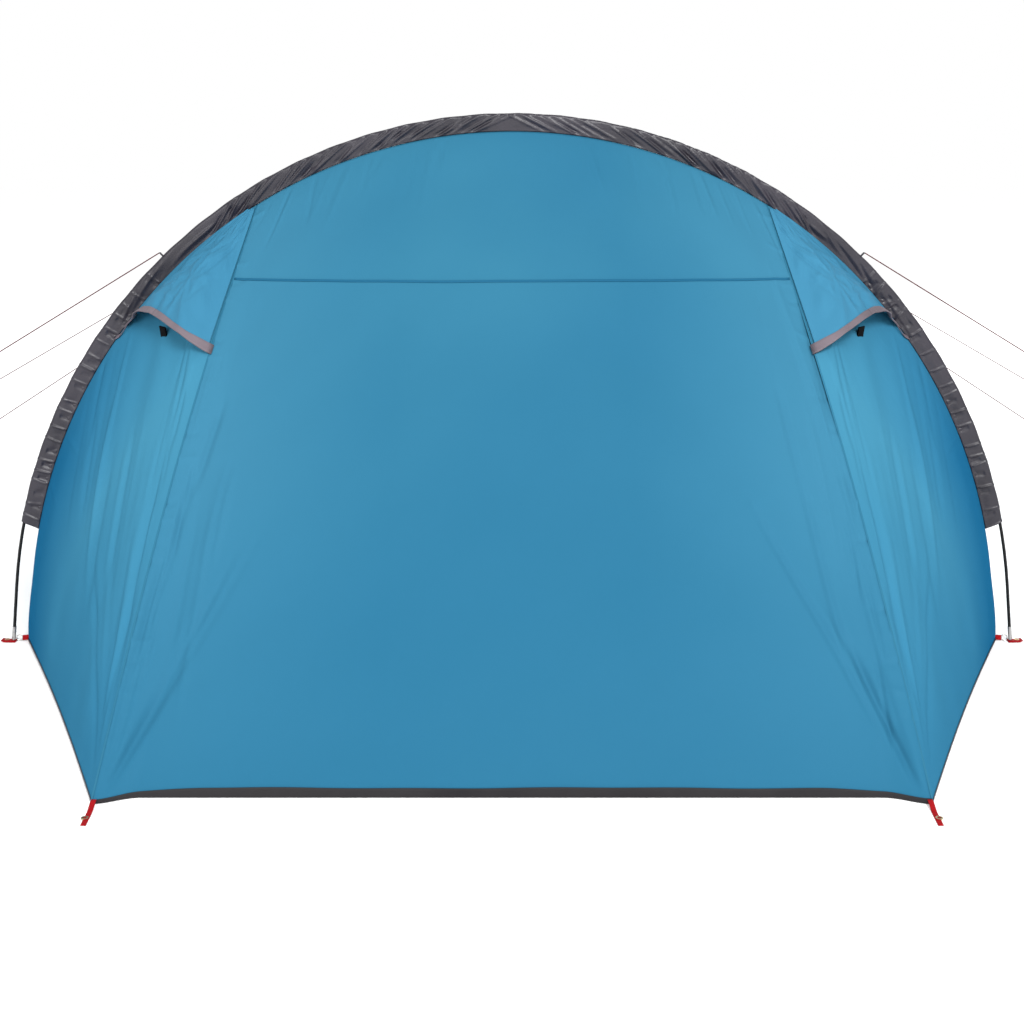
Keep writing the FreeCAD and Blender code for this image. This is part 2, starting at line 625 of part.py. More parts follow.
def make():
    os.makedirs("parts", exist_ok=True)
    foot = ground_angle(HOOP_RADIUS, 0.0)
    save("groundsheet", groundsheet())
    for bay, (y_from, y_to) in zip(("rear", "front"), zip(HOOP_YS, HOOP_YS[1:])):
        wall = curved_sheet(ROOF_HALF_ANGLE, foot, y_from, y_to)
        save("fly_" + bay + "_right", wall)
        save("fly_" + bay + "_left", mirrored(wall))
        save("fly_" + bay + "_roof", curved_sheet(-ROOF_HALF_ANGLE, ROOF_HALF_ANGLE, y_from, y_to))

    # Rear wall
    save("rear_panel", rear_panel())
    whole = end_gusset(REAR_HOOP_Y, REAR_EDGE_Y, REAR_SEAM_ANGLE)
    gusset = whole.cut(vent_cutter(0.0))
    mesh = whole.common(vent_cutter(0.01))
    save("rear_gusset_right", gusset)
    save("rear_gusset_left", mirrored(gusset))
    save("vent_meshes", both_sides([mesh]))
    save("rear_hem", hem_band(-CORNER_HALF_WIDTH, CORNER_HALF_WIDTH, REAR_EDGE_Y, 0.0))
    hood = opened(hood_plate(0.06, 0.955, HOOD_CLEARANCE, CLOTH))
    binding = opened(hood_plate(0.957, 1.0, HOOD_CLEARANCE - 1.0, CLOTH + 2.0))
    prop = vent_prop(whole)
    for side, sign in SIDES.items():
        turn = mirrored if sign < 0 else (lambda s: s)
        save("vent_hood_" + side, turn(hood))
        save("vent_binding_" + side, turn(binding))
        save("vent_prop_" + side, turn(prop))

    # Front wall
    gusset = end_gusset(FRONT_HOOP_Y, FRONT_EDGE_Y, lintel_angle)
    for side, sign in SIDES.items():
        turn = mirrored if sign < 0 else (lambda s: s)
        save("front_gusset_" + side, turn(gusset))
        save("front_flank_" + side, turn(front_flank()))
        save("door_slider_" + side, door_slider(sign))
        save("door_puller_" + side, door_puller(sign))
    save("front_lunette", front_lunette())
    save("front_door", front_door())
    save("front_hem", both_sides([hem_band(DOOR_FOOT_HALF + 4.0, CORNER_HALF_WIDTH, FRONT_EDGE_Y, 0.0)]))
    save("door_hem", hem_band(-DOOR_FOOT_HALF, DOOR_FOOT_HALF, FRONT_EDGE_Y, 2.0))
    save("door_zips", several([door_zip(-1), door_zip(1)]))
    save("door_ties", several(door_tie(-1) + door_tie(1)))
    save("side_piping", both_sides([side_piping(REAR_HOOP_Y, REAR_EDGE_Y),
                                    side_piping(FRONT_HOOP_Y, FRONT_EDGE_Y)]))

    # Sleeping room
    save("divider", divider())
    save("inner_door", inner_door())
    save("inner_zip", inner_zip())
    save("inner_slider", inner_slider())

    # Hoops
    for name, y in zip(("rear", "middle", "front"), HOOP_YS):
        save("sleeve_" + name, sleeve(y))
    save("pole_rods", several(r for y in HOOP_YS for r in pole_rods(y)))
    save("pole_metal", several(p for y in HOOP_YS for p in pole_metal(y)))

    # Webbing, rings and eyelets
    straps = [s for y in HOOP_YS for s in foot_straps(y)]
    eyes = [(foot_eye(y), 3.0) for y in HOOP_YS]
    for edge_y in (REAR_EDGE_Y, FRONT_EDGE_Y):
        strap, eye = corner_strap(edge_y)
        straps.append(strap)
        eyes.append((eye, 2.4))
    save("webbing_straps", both_sides(straps))
    save("peg_eyelets", both_sides([peg_eyelet(at, height) for at, height in eyes]))
    save("foot_rings", both_sides([foot_ring(y) for y in HOOP_YS]))
    save("guy_tabs", both_sides([guy_tab(y) for y in HOOP_YS]))

    # Guy lines and their runners
    for name, y, slope in zip(("rear", "middle", "front"), HOOP_YS, GUY_SLOPES):
        guy = rounded_tube(guy_points(y, slope), GUY_RADIUS)
        for side, sign in SIDES.items():
            turn = mirrored if sign < 0 else (lambda s: s)
            save("guy_line_" + name + "_" + side, turn(guy))
            save("runner_" + name + "_" + side, turn(runner(y, slope)))


make()
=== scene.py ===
import math
import random

import bpy
import numpy as np
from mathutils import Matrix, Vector


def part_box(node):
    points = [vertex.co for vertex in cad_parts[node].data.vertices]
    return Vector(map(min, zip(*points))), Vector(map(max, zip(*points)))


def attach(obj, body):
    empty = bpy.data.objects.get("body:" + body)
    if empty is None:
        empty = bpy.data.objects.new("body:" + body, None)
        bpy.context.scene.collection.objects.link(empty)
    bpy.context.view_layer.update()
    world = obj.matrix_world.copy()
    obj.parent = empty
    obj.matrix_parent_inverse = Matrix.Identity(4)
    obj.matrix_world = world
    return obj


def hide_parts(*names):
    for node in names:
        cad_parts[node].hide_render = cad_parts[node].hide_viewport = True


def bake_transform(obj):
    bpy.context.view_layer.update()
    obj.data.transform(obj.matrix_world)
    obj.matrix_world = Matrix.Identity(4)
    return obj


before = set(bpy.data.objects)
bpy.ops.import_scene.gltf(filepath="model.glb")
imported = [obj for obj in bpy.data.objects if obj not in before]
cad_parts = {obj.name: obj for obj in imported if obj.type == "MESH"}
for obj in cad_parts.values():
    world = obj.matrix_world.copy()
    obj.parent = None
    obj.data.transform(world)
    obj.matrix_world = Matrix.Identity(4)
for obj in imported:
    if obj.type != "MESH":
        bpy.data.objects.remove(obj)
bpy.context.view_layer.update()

# A tunnel tent on three hoops. Metres, +Z up, the rear wall faces -Y and the door faces +Y.
# The places come from the CAD part's nodes. The sizes are the part's, apart from some that follow the
# look, such as the ends of the sleeves, the rise of the vent hoods and the pull on the rear corners.

HOOP_RADIUS = 1.300           # outer face of the flysheet, seen from the end
HOOP_CENTRE_Z = 0.080
POLE_LINE_RADIUS = 1.342
SLEEVE_END = 79.5             # degrees from straight up
ROOF_HALF_ANGLE = 35.0
REAR_SEAM_ANGLE = 32.0
CORNER_HALF_WIDTH = 0.850
HEM_HEIGHT = 0.016
LINTEL_Z = 1.050
DOOR_TOP_HALF = 0.560
DOOR_FOOT_HALF = 0.600
DOOR_DROP = 0.006
DOOR_BEND = 0.090             # the lifted door would bend within this distance of the lintel; this door is not bent
DOOR_GAP = 0.0015
EDGE_CLEARANCE = 0.9          # degrees along the hoop between a gusset's top corner and its seam
WALL_FOOT_Z = 0.004
TAPE_OFFSET = 0.0002          # a tape's back is this far outside the cloth, or inside it on the tunnel
HOOPS = ("rear", "middle", "front")
SIDES = {"left": -1, "right": 1}


def middle_of(node):
    low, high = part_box(node)
    return (low + high) / 2


HOOP_YS = [middle_of("sleeve_" + name).y for name in HOOPS]
REAR_HOOP_Y, MIDDLE_HOOP_Y, FRONT_HOOP_Y = HOOP_YS
REAR_EDGE_Y = middle_of("rear_hem").y
FRONT_EDGE_Y = middle_of("front_hem").y
DIVIDER_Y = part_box("divider")[1].y


# ---- Small sums on arrays of points ----

def xyz(x, y, z):
    return np.stack(np.broadcast_arrays(x, y, z), axis=-1).astype(float)


ASIDE = xyz(1.0, 0.0, 0.0)
ALONG = xyz(0.0, 1.0, 0.0)
UP = xyz(0.0, 0.0, 1.0)


def on_hoop(radius, degrees, y):
    """Points in a hoop's plane, by their angle from straight up, positive towards +X."""
    a = np.radians(degrees)
    return xyz(radius * np.sin(a), y, HOOP_CENTRE_Z + radius * np.cos(a))


def ground_angle(radius, height):
    return np.degrees(np.arccos((height - HOOP_CENTRE_Z) / radius))


def ease(t):
    """0 below 0, 1 above 1, and smooth between them."""
    t = np.clip(t, 0.0, 1.0)
    return t * t * (3.0 - 2.0 * t)


def bulge(t):
    """0 at both ends of a share, and 1 half way."""
    return np.sin(np.pi * np.clip(t, 0, 1))


def inside(t, first, last):
    """1 well inside a sheet and 0 at its two edges: the larger a number, the narrower the fade."""
    return ease(t * first) * ease((1 - t) * last)


def mix(a, b, t):
    return a + (b - a) * np.asarray(t, float)[..., None]


def unit(vectors):
    return vectors / np.maximum(np.linalg.norm(vectors, axis=-1, keepdims=True), 1e-12)


def folds(x, y, lines):
    """Soft ridges along straight lines (x0, y0, x1, y1, half width, height), fading at both ends."""
    total = np.zeros(np.broadcast(x, y).shape)
    for x0, y0, x1, y1, width, height in lines:
        dx, dy = x1 - x0, y1 - y0
        along = ((x - x0) * dx + (y - y0) * dy) / (dx * dx + dy * dy)
        aside = ((x - x0) * dy - (y - y0) * dx) / math.hypot(dx, dy)
        total += height * np.exp(-(aside / width) ** 2) * inside(along, 3.0, 3.0)
    return total


def waves(x, y, seed, count, lengths, height, lean=(0.0, math.pi)):
    """Broad gentle unevenness: a few sine waves of chance directions, the same on each run."""
    draw = random.Random(seed).uniform
    total = np.zeros(np.broadcast(x, y).shape)
    for _ in range(count):
        way = draw(*lean)
        turns = 2.0 * math.pi / draw(*lengths)
        start = draw(0.0, 2.0 * math.pi)
        total += np.sin((x * math.cos(way) + y * math.sin(way)) * turns + start)
    return total * height / count


def uneven(u, v, seed, broad, fine):
    """Broad waves over a sheet, and finer ones on them."""
    return waves(u, v, seed, 6, (0.3, 0.8), broad) + waves(u, v, seed + 1, 6, (0.06, 0.14), fine)


# ---- Mesh makers ----

class Surface:
    """A sheet's shape: base places shares u (across) and v (down), relief adds folds outwards."""

    def __init__(self, base, relief=None, sign=1):
        self.base = base
        self.relief = relief
        self.sign = sign

    def at(self, u, v):
        step = 0.002
        points = self.base(u, v)
        across = self.base(u + step, v) - self.base(u - step, v)
        down = self.base(u, v + step) - self.base(u, v - step)
        outwards = unit(np.cross(down, across)) * self.sign
        if self.relief is not None:
            points = points + outwards * self.relief(u, v)[..., None]
        return points, outwards


def mesh_piece(name, points, faces, uvs, material):
    mesh = bpy.data.meshes.new(name)
    mesh.from_pydata([tuple(p) for p in points], [], faces)
    mesh.polygons.foreach_set("use_smooth", [True] * len(faces))
    layer = mesh.uv_layers.new(name="cloth")
    corner = np.zeros(len(mesh.loops), int)
    mesh.loops.foreach_get("vertex_index", corner)
    layer.data.foreach_set("uv", np.asarray(uvs, float)[corner].ravel())
    mesh.materials.append(material)
    piece = bpy.data.objects.new(name, mesh)
    bpy.context.scene.collection.objects.link(piece)
    return piece


def grid_faces(rows, columns, flip, keep=None):
    faces = []
    for r in range(rows):
        for c in range(columns):
            if keep is not None and not keep[r, c]:
                continue
            a = r * (columns + 1) + c
            quad = (a, a + columns + 1, a + columns + 2, a + 1)
            faces.append(quad[::-1] if flip else quad)
    return faces


def fine_at_sides(columns):
    """Shares from 0 to 1, closer together near both ends, where a sheet has its creases."""
    even = np.linspace(0.0, 1.0, columns + 1)
    return even - 0.105 * np.sin(2.0 * np.pi * even)


def thicken(piece, thickness, offset):
    """Gives a sheet a real thickness: inwards for an offset of -1, and to both sides for 0."""
    solid = piece.modifiers.new("thickness", "SOLIDIFY")
    solid.thickness = thickness
    solid.offset = offset


def cloth(name, surface, columns, rows, material, u_range=(0.0, 1.0), v_range=(0.0, 1.0),
          thickness=0.0008, keep=None, shares=None):
    """A sheet of cloth as a fine grid, with a real thickness inwards."""
    if shares is None:
        shares = np.linspace(*u_range, columns + 1)
    v, u = np.meshgrid(np.linspace(*v_range, rows + 1), shares, indexing="ij")
    points, _ = surface.at(u, v)
    wide = np.linalg.norm(np.diff(points, axis=1), axis=-1).sum(1).mean() / (u_range[1] - u_range[0])
    tall = np.linalg.norm(np.diff(points, axis=0), axis=-1).sum(0).mean() / (v_range[1] - v_range[0])
    uvs = np.stack([u * wide, v * tall], axis=-1).reshape(-1, 2)
    kept = None
    if keep is not None:
        kept = keep((u[:-1, :-1] + u[1:, 1:]) / 2, (v[:-1, :-1] + v[1:, 1:]) / 2)
    faces = grid_faces(rows, columns, surface.sign < 0, kept)
    piece = mesh_piece(name, points.reshape(-1, 3), faces, uvs, material)
    thicken(piece, thickness, -1.0)
    return piece


def lengths_along(line):
    """The distance along a line to each of its points."""
    return np.concatenate([[0.0], np.cumsum(np.linalg.norm(np.diff(line, axis=0), axis=1))])


def tube_faces(rings, sides, turned):
    """Quads between rings of points, and a cap at each end, all facing the same way."""
    faces = []
    for k in range(rings - 1):
        for n in range(sides):
            a, b = k * sides + n, k * sides + (n + 1) % sides
            quad = (a, a + sides, b + sides, b)
            faces.append((a,) + quad[:0:-1] if turned else quad)
    first = tuple(range(sides))
    last = tuple((rings - 1) * sides + n for n in first)
    return faces + ([first[::-1], last] if turned else [first, last[::-1]])


def ribbon(name, line, across, out, width, thickness, material, edge=0.25):
    """A strip along a line: width across, thickness out, with bevelled long edges."""
    line, across, out = (np.asarray(a, float) for a in (line, across, out))
    across = np.broadcast_to(unit(across), line.shape)
    out = np.broadcast_to(unit(out), line.shape)
    half = np.broadcast_to(np.asarray(width, float) / 2, len(line))
    section = ((-1.0, 0.0), (-1.0, 1.0 - edge), (-1.0, 1.0), (-0.5, 1.0), (0.0, 1.0),
               (0.5, 1.0), (1.0, 1.0), (1.0, 1.0 - edge), (1.0, 0.0))
    rows, uvs = [], []
    run = lengths_along(line)
    for k in range(len(line)):
        for s, h in section:
            inset = edge * thickness if (abs(s) == 1.0 and h == 1.0) else 0.0
            side = s * half[k] - math.copysign(inset, s)
            rows.append(line[k] + across[k] * side + out[k] * thickness * h)
            uvs.append((side, run[k]))
    return mesh_piece(name, rows, tube_faces(len(line), len(section), False), uvs, material)


def round_rod(name, line, radius, material, sides=8):
    """A round strip of piping along a line of points."""
    line = np.asarray(line, float)
    way = unit(np.gradient(line, axis=0))
    aside = unit(np.cross(way, UP))
    up = np.cross(aside, way)
    run = lengths_along(line)
    points, uvs = [], []
    for k in range(len(line)):
        for n in range(sides):
            turn = 2.0 * math.pi * n / sides
            points.append(line[k] + (aside[k] * math.cos(turn) + up[k] * math.sin(turn)) * radius)
            uvs.append((radius * turn, run[k]))
    return mesh_piece(name, points, tube_faces(len(line), sides, True), uvs, material)


def belongs(piece, body, slot, *nodes):
    """The piece rides on a body and stands for CAD nodes."""
    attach(piece, body)
    if nodes:
        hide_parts(*nodes)
    return piece


def sewn_strip(slot, nodes, *strip):
    """A ribbon that is sewn to the tent."""
    return belongs(ribbon(*strip), "tent", slot, *nodes)


# ---- Materials ----

def srgb(red, green, blue):
    """A colour given from 0 to 255 as screens show it, in the linear values that shaders use."""
    def linear(c):
        c /= 255.0
        return c / 12.92 if c <= 0.04045 else ((c + 0.055) / 1.055) ** 2.4
    return (linear(red), linear(green), linear(blue), 1.0)


class Paint:
    """A node material that is built up from a principled shader."""

    def __init__(self, name, colour, roughness, specular=0.4, metallic=0.0, sheen=0.0):
        self.material = bpy.data.materials.new(name)
        self.material.use_nodes = True
        self.tree = self.material.node_tree
        self.shader = self.tree.nodes["Principled BSDF"]
        self.shader.inputs["Base Color"].default_value = colour
        self.shader.inputs["Roughness"].default_value = roughness
        self.shader.inputs["Specular IOR Level"].default_value = specular
        self.shader.inputs["Metallic"].default_value = metallic
        self.shader.inputs["Sheen Weight"].default_value = sheen

    def node(self, kind, **inputs):
        made = self.tree.nodes.new(kind)
        for key, value in inputs.items():
            made.inputs[key.replace("_", " ")].default_value = value
        return made

    def join(self, source, target):
        self.tree.links.new(source, target)

    def place(self, how, scale):
        """Coordinates by UV, in metres along the cloth, or by Object, in metres in space."""
        where = self.node("ShaderNodeTexCoord")
        scaled = self.node("ShaderNodeMapping")
        scaled.inputs["Scale"].default_value = scale
        self.join(where.outputs[how], scaled.inputs["Vector"])
        return scaled.outputs["Vector"]

    def noise(self, how, scale, detail=3.0, rough=0.5):
        made = self.node("ShaderNodeTexNoise", Scale=1.0, Detail=detail, Roughness=rough)
        self.join(self.place(how, scale), made.inputs["Vector"])
        return made.outputs["Fac"]

    def threads(self, how, period, direction):
        """Parallel threads a period apart across X or Y."""
        made = self.node("ShaderNodeTexWave", Scale=0.314, Distortion=0.0)
        made.wave_type = "BANDS"
        made.bands_direction = direction
        self.join(self.place(how, (1.0 / period,) * 3), made.inputs["Vector"])
        return made.outputs["Fac"]

    def sums(self, operation, a, b):
        made = self.node("ShaderNodeMath")
        made.operation = operation
        for slot, value in zip(made.inputs, (a, b)):
            if isinstance(value, (int, float)):
                slot.default_value = value
            else:
                self.join(value, slot)
        return made.outputs["Value"]

    def times(self, value, *factors):
        for factor in factors:
            value = self.sums("MULTIPLY", value, factor)
        return value

    def across_and_up(self):
        """Each point's X and Z in space, in metres."""
        place = self.node("ShaderNodeSeparateXYZ")
        self.join(self.node("ShaderNodeTexCoord").outputs["Object"], place.inputs["Vector"])
        return place.outputs["X"], place.outputs["Z"]

    def tint(self, other, factor):
        """Moves the colour towards another by a factor that varies over the surface."""
        mixed = self.node("ShaderNodeMix")
        mixed.data_type = "RGBA"
        base = self.shader.inputs["Base Color"]
        if base.is_linked:
            self.join(base.links[0].from_socket, mixed.inputs[6])
        else:
            mixed.inputs[6].default_value = base.default_value
        mixed.inputs[7].default_value = other
        self.join(factor, mixed.inputs[0])
        self.join(mixed.outputs[2], base)

    def spread(self, value, low, high):
        """Stretches the part of a value between low and high to 0..1."""
        made = self.node("ShaderNodeMapRange", From_Min=low, From_Max=high)
        self.join(value, made.inputs["Value"])
        return made.outputs["Result"]

    def bump(self, height, distance, strength=1.0):
        made = self.node("ShaderNodeBump", Strength=strength, Distance=distance)
        self.join(height, made.inputs["Height"])
        normal = self.shader.inputs["Normal"]
        if normal.is_linked:
            self.join(normal.links[0].from_socket, made.inputs["Normal"])
        self.join(made.outputs["Normal"], normal)

    def vary_roughness(self, value, low, high):
        made = self.node("ShaderNodeMapRange", To_Min=low, To_Max=high)
        self.join(value, made.inputs["Value"])
        self.join(made.outputs["Result"], self.shader.inputs["Roughness"])


def woven(paint, how, period, distance):
    """Fine crossed threads."""
    paint.bump(paint.times(paint.threads(how, period, "X"), paint.threads(how, period, "Y")), distance, 0.5)


def shade_gusset(paint):
    """A painted shade: darker beside the hoop, low down, and towards the foot."""
    x, z = paint.across_and_up()
    z_up = paint.sums("SUBTRACT", z, HOOP_CENTRE_Z)
    squares = paint.sums("ADD", paint.times(x, x), paint.times(z_up, z_up))
    near = paint.spread(paint.sums("POWER", squares, 0.5), 1.06, 1.27)
    beside_hoop = paint.times(near, paint.spread(z, 1.05, 0.50), 0.88)
    foot = paint.times(paint.spread(z, 0.62, 0.05), 0.42)
    paint.tint(srgb(18, 84, 122), paint.sums("MAXIMUM", beside_hoop, foot))


def shade_panel(paint):
    """Painted light and shade: lighter beside the slanting seams, darker towards the foot."""
    x, z = paint.across_and_up()
    paint.tint(srgb(34, 91, 119), paint.spread(z, 1.05, 0.30))
    beside_seam = paint.spread(paint.times(x, x), 0.08, 0.52)
    upper = paint.spread(z, -0.10, 0.60)
    paint.tint(srgb(52, 108, 134), paint.times(beside_seam, upper, 0.8))


def flysheet_material(name, colour, other, wrinkle, specular=0.02, shade=None):
    """Blue coated polyester: fine weave, crinkles along the cloth, slightly uneven colour."""
    paint = Paint(name, colour, 0.55, specular=specular)
    patches = paint.noise("Object", (1.7, 1.7, 1.1), detail=2.0)
    paint.tint(other, paint.times(paint.spread(patches, 0.42, 0.75), 0.6))
    if shade:
        shade(paint)
    paint.bump(paint.noise("UV", (24.0, 2.4, 1.0), detail=2.0, rough=0.45), wrinkle)
    woven(paint, "UV", 0.0011, 0.00006)
    paint.vary_roughness(paint.noise("Object", (9.0, 9.0, 9.0)), 0.44, 0.58)
    return paint.material


def plain_cloth_material(name, colour, other, roughness, period, crinkle, specular=0.35):
    """Another woven cloth of the tent, in its own colour."""
    paint = Paint(name, colour, roughness, specular=specular)
    patches = paint.noise("Object", (5.0, 5.0, 5.0), detail=3.0)
    paint.tint(other, paint.spread(patches, 0.4, 0.7))
    paint.bump(paint.noise("Object", (60.0, 60.0, 60.0), detail=3.0), crinkle)
    woven(paint, "UV", period, 0.0001)
    return paint.material


def webbing_material(name, colour, other):
    """Narrow webbing: thick ribs across, and finer threads along it."""
    paint = Paint(name, colour, 0.7, specular=0.12)
    ribs = paint.threads("UV", 0.0014, "Y")
    fine = paint.threads("UV", 0.0011, "X")
    paint.tint(other, paint.times(paint.spread(paint.noise("Object", (90.0,) * 3), 0.45, 0.8), 0.6))
    paint.bump(paint.times(ribs, fine), 0.0003, 0.8)
    return paint.material


def hard_material(name, colour, roughness, metallic=0.0, specular=0.5, scratch=0.00003, worn=None):
    """Moulded plastic or metal with fine uneven gloss and light wear."""
    paint = Paint(name, colour, roughness, specular=specular, metallic=metallic)
    if worn:
        paint.tint(worn, paint.spread(paint.noise("Object", (140.0,) * 3, detail=4.0), 0.55, 0.75))
    gloss = paint.noise("Object", (220.0,) * 3, detail=4.0)
    paint.vary_roughness(gloss, roughness * 0.75, roughness * 1.3)
    paint.bump(paint.noise("Object", (900.0,) * 3, detail=3.0), scratch)
    return paint.material


def cord_material():
    """A braided guy line: dark red with slightly paler flecks."""
    paint = Paint("guy_cord_braid", srgb(66, 16, 22), 0.7, specular=0.02)
    flecks = paint.node("ShaderNodeTexWave", Scale=0.314, Distortion=1.0)
    flecks.bands_direction = "DIAGONAL"
    paint.join(paint.place("Object", (1 / 0.006,) * 3), flecks.inputs["Vector"])
    paint.tint(srgb(98, 50, 56), paint.times(paint.spread(flecks.outputs["Fac"], 0.5, 0.95), 0.6))
    paint.bump(flecks.outputs["Fac"], 0.0003)
    return paint.material


def zip_material():
    """Zip tape, with its teeth as ridges across the whole width."""
    paint = Paint("zip_tape_cloth", srgb(40, 40, 44), 0.6, specular=0.3)
    teeth = paint.threads("UV", 0.0022, "Y")
    paint.tint(srgb(92, 92, 98), paint.spread(teeth, 0.6, 0.9))
    paint.bump(teeth, 0.0004)
    return paint.material


BLUE = flysheet_material("blue_flysheet_cloth", srgb(43, 99, 124), srgb(32, 88, 117), 0.0005)
# The rear panel's cloth, with painted light beside its slanting seams and painted shade towards its foot,
# from shade_panel.
BLUE_PANEL_PAINTED_LIGHT_AND_SHADE = flysheet_material("blue_flysheet_panel", srgb(43, 99, 124), srgb(32, 88, 117), 0.0005,
                               shade=shade_panel)
# The flysheet's cloth with deeper crinkles, painted a lighter blue for the light that falls on the vent
# hoods; the front gussets take it too.
BLUE_WRINKLED_PAINTED_LIGHT = flysheet_material("blue_flysheet_wrinkled", srgb(53, 110, 138), srgb(42, 99, 128), 0.0016)
# The gussets are the flysheet's cloth, painted a lighter blue for the light that falls on them, with a
# painted shade from shade_gusset.
BLUE_GUSSET_PAINTED_LIGHT_AND_SHADE = flysheet_material("blue_flysheet_gusset", srgb(56, 116, 142), srgb(47, 108, 137), 0.0012,
                                specular=0.0, shade=shade_gusset)
GREY = plain_cloth_material("grey_sleeve_polyester", srgb(38, 35, 44), srgb(25, 23, 31), 0.36,
                            0.0012, 0.0009, 0.42)
BLUE_SEAM = flysheet_material("blue_flysheet_seam", srgb(30, 84, 112), srgb(24, 76, 104), 0.0004)
MAUVE = plain_cloth_material("mauve_binding_tape", srgb(104, 94, 101), srgb(86, 78, 84), 0.6,
                             0.0012, 0.0006, 0.2)
HEM = plain_cloth_material("dark_hem_cloth", srgb(34, 32, 34), srgb(24, 22, 25), 0.6, 0.0014, 0.0012, 0.2)
FLOOR_CLOTH = plain_cloth_material("groundsheet_pe", srgb(66, 70, 74), srgb(52, 56, 60), 0.5, 0.0024, 0.0020)
INNER = plain_cloth_material("inner_polyester", srgb(172, 178, 182), srgb(156, 163, 168), 0.6, 0.0012, 0.0018)
NET = plain_cloth_material("vent_net", srgb(40, 44, 48), srgb(20, 22, 24), 0.8, 0.0020, 0.0004)
RED = webbing_material("red_webbing_tape", srgb(146, 6, 14), srgb(112, 4, 10))
DARK_TAPE = webbing_material("grey_webbing_tape", srgb(54, 53, 58), srgb(42, 41, 46))
CORD = cord_material()
ZIP = zip_material()
BLACK = hard_material("black_plastic_moulded", srgb(6, 6, 8), 0.6, specular=0.03, worn=srgb(14, 14, 16))
RUNNER = hard_material("runner_plastic_moulded", srgb(26, 26, 28), 0.4, worn=srgb(44, 44, 46))
GLASSFIBRE = hard_material("pole_glassfibre_black", srgb(8, 8, 9), 0.42, specular=0.25, worn=srgb(18, 18, 18))
STEEL = hard_material("steel", srgb(196, 194, 190), 0.3, metallic=1.0, worn=srgb(150, 148, 146))
FERRULE = hard_material("ferrule_steel", srgb(168, 166, 164), 0.34, metallic=0.9, worn=srgb(120, 118, 118))
BRASS = hard_material("eyelet_metal", srgb(190, 170, 130), 0.35, metallic=1.0, worn=srgb(140, 120, 90))

FINISHES = {
    "pole_rods": GLASSFIBRE, "pole_metal": FERRULE, "foot_rings": STEEL, "peg_eyelets": BRASS,
    "inner_slider": STEEL,
}
for side in SIDES:
    FINISHES["vent_prop_" + side] = BLACK
    FINISHES["door_slider_" + side] = STEEL
    FINISHES["door_puller_" + side] = STEEL
    for name in HOOPS:
        FINISHES["runner_" + name + "_" + side] = RUNNER
for node, material in FINISHES.items():
    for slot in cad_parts[node].material_slots:
        slot.material = material


# ---- Rear wall ----
SEAM_BOW = 0.020              # the rear seams bow outwards this much at half height
CROSS_SEAM_Z = 0.995          # height of the level seam across the rear panel
CORNER_PULL = 0.030           # the corner straps draw the corners out this much
CORNER_DROP = 0.010           # and the cloth's foot is this much lower there
PANEL_LENGTH = 1.53           # down the slope
SEAM_TOP_HALF = 0.715         # half the panel's width at its top
SEAM_LEAN = 0.085             # and what each metre down adds to it


def corner_pull(x):
    return CORNER_PULL * ease((np.abs(x) - 0.76) / 0.09)


def foot_height(x):
    return HEM_HEIGHT - CORNER_DROP * ease((np.abs(x) - 0.62) / 0.22)


def rear_seam(v, side):
    """The seam between the rear panel and a gusset, from the hoop down to the corner."""
    top = on_hoop(HOOP_RADIUS, REAR_SEAM_ANGLE * side, REAR_HOOP_Y)
    foot = xyz(CORNER_HALF_WIDTH * side, REAR_EDGE_Y - CORNER_PULL, HEM_HEIGHT - CORNER_DROP)
    return mix(top, foot, v) + xyz(side * SEAM_BOW * bulge(v), 0.0, 0.0)


def rear_panel_base(u, v):
    top = on_hoop(HOOP_RADIUS, REAR_SEAM_ANGLE * (2 * u - 1), REAR_HOOP_Y)
    foot_x = CORNER_HALF_WIDTH * (2 * u - 1)
    foot = xyz(foot_x, REAR_EDGE_Y - corner_pull(foot_x), foot_height(foot_x))
    bow = SEAM_BOW * (2 * u - 1) * bulge(v)
    return mix(top, foot, v) + xyz(bow, 0.0, 0.0)


def panel_lines():
    """Creases of the rear panel: short ones at the seam tops, fans at the two lower corners."""
    draw = random.Random(11).uniform
    lines = []
    for side in (-1, 1):
        for n in range(17):
            x = side * (0.71 - 0.033 * n + draw(-0.01, 0.01))
            lean = side * draw(0.01, 0.08)
            lines.append((x, -0.03, x + lean, draw(0.10, 0.26), 0.006, draw(-0.0030, 0.0036)))
        for n in range(11):
            way = math.radians(draw(3, 30))
            reach = draw(0.25, 0.75)
            x0, y0 = side * 0.84, 1.50
            x1 = x0 - side * reach * math.sin(way)
            lines.append((x0, y0 + 0.05, x1, y0 - reach * math.cos(way), 0.009, draw(-0.0060, 0.0056)))
        for n in range(8):
            x = side * (0.62 + 0.018 * n)
            y = draw(0.15, 0.9)
            lines.append((x, y, x + side * draw(0.02, 0.07), y + draw(0.25, 0.6), 0.010,
                          draw(-0.0062, 0.0050)))
        for n in range(26):
            y = 0.04 + 0.055 * n + draw(-0.01, 0.01)
            x = SEAM_TOP_HALF + SEAM_LEAN * y
            reach = draw(0.02, 0.06)
            lines.append((side * (x + 0.02), y, side * (x - reach), y + draw(-0.01, 0.025), 0.006,
                          draw(-0.0026, 0.0030)))
        for n in range(20):
            y = draw(0.42, 1.22)
            reach = draw(0.10, 0.30)
            x = SEAM_TOP_HALF + SEAM_LEAN * y - draw(0.006, 0.045)
            foot_x = x + SEAM_LEAN * reach + draw(-0.012, 0.010)
            lines.append((side * x, y, side * foot_x, y + reach, 0.005, draw(-0.0034, 0.0026)))
    return lines


PANEL_LINES = panel_lines()


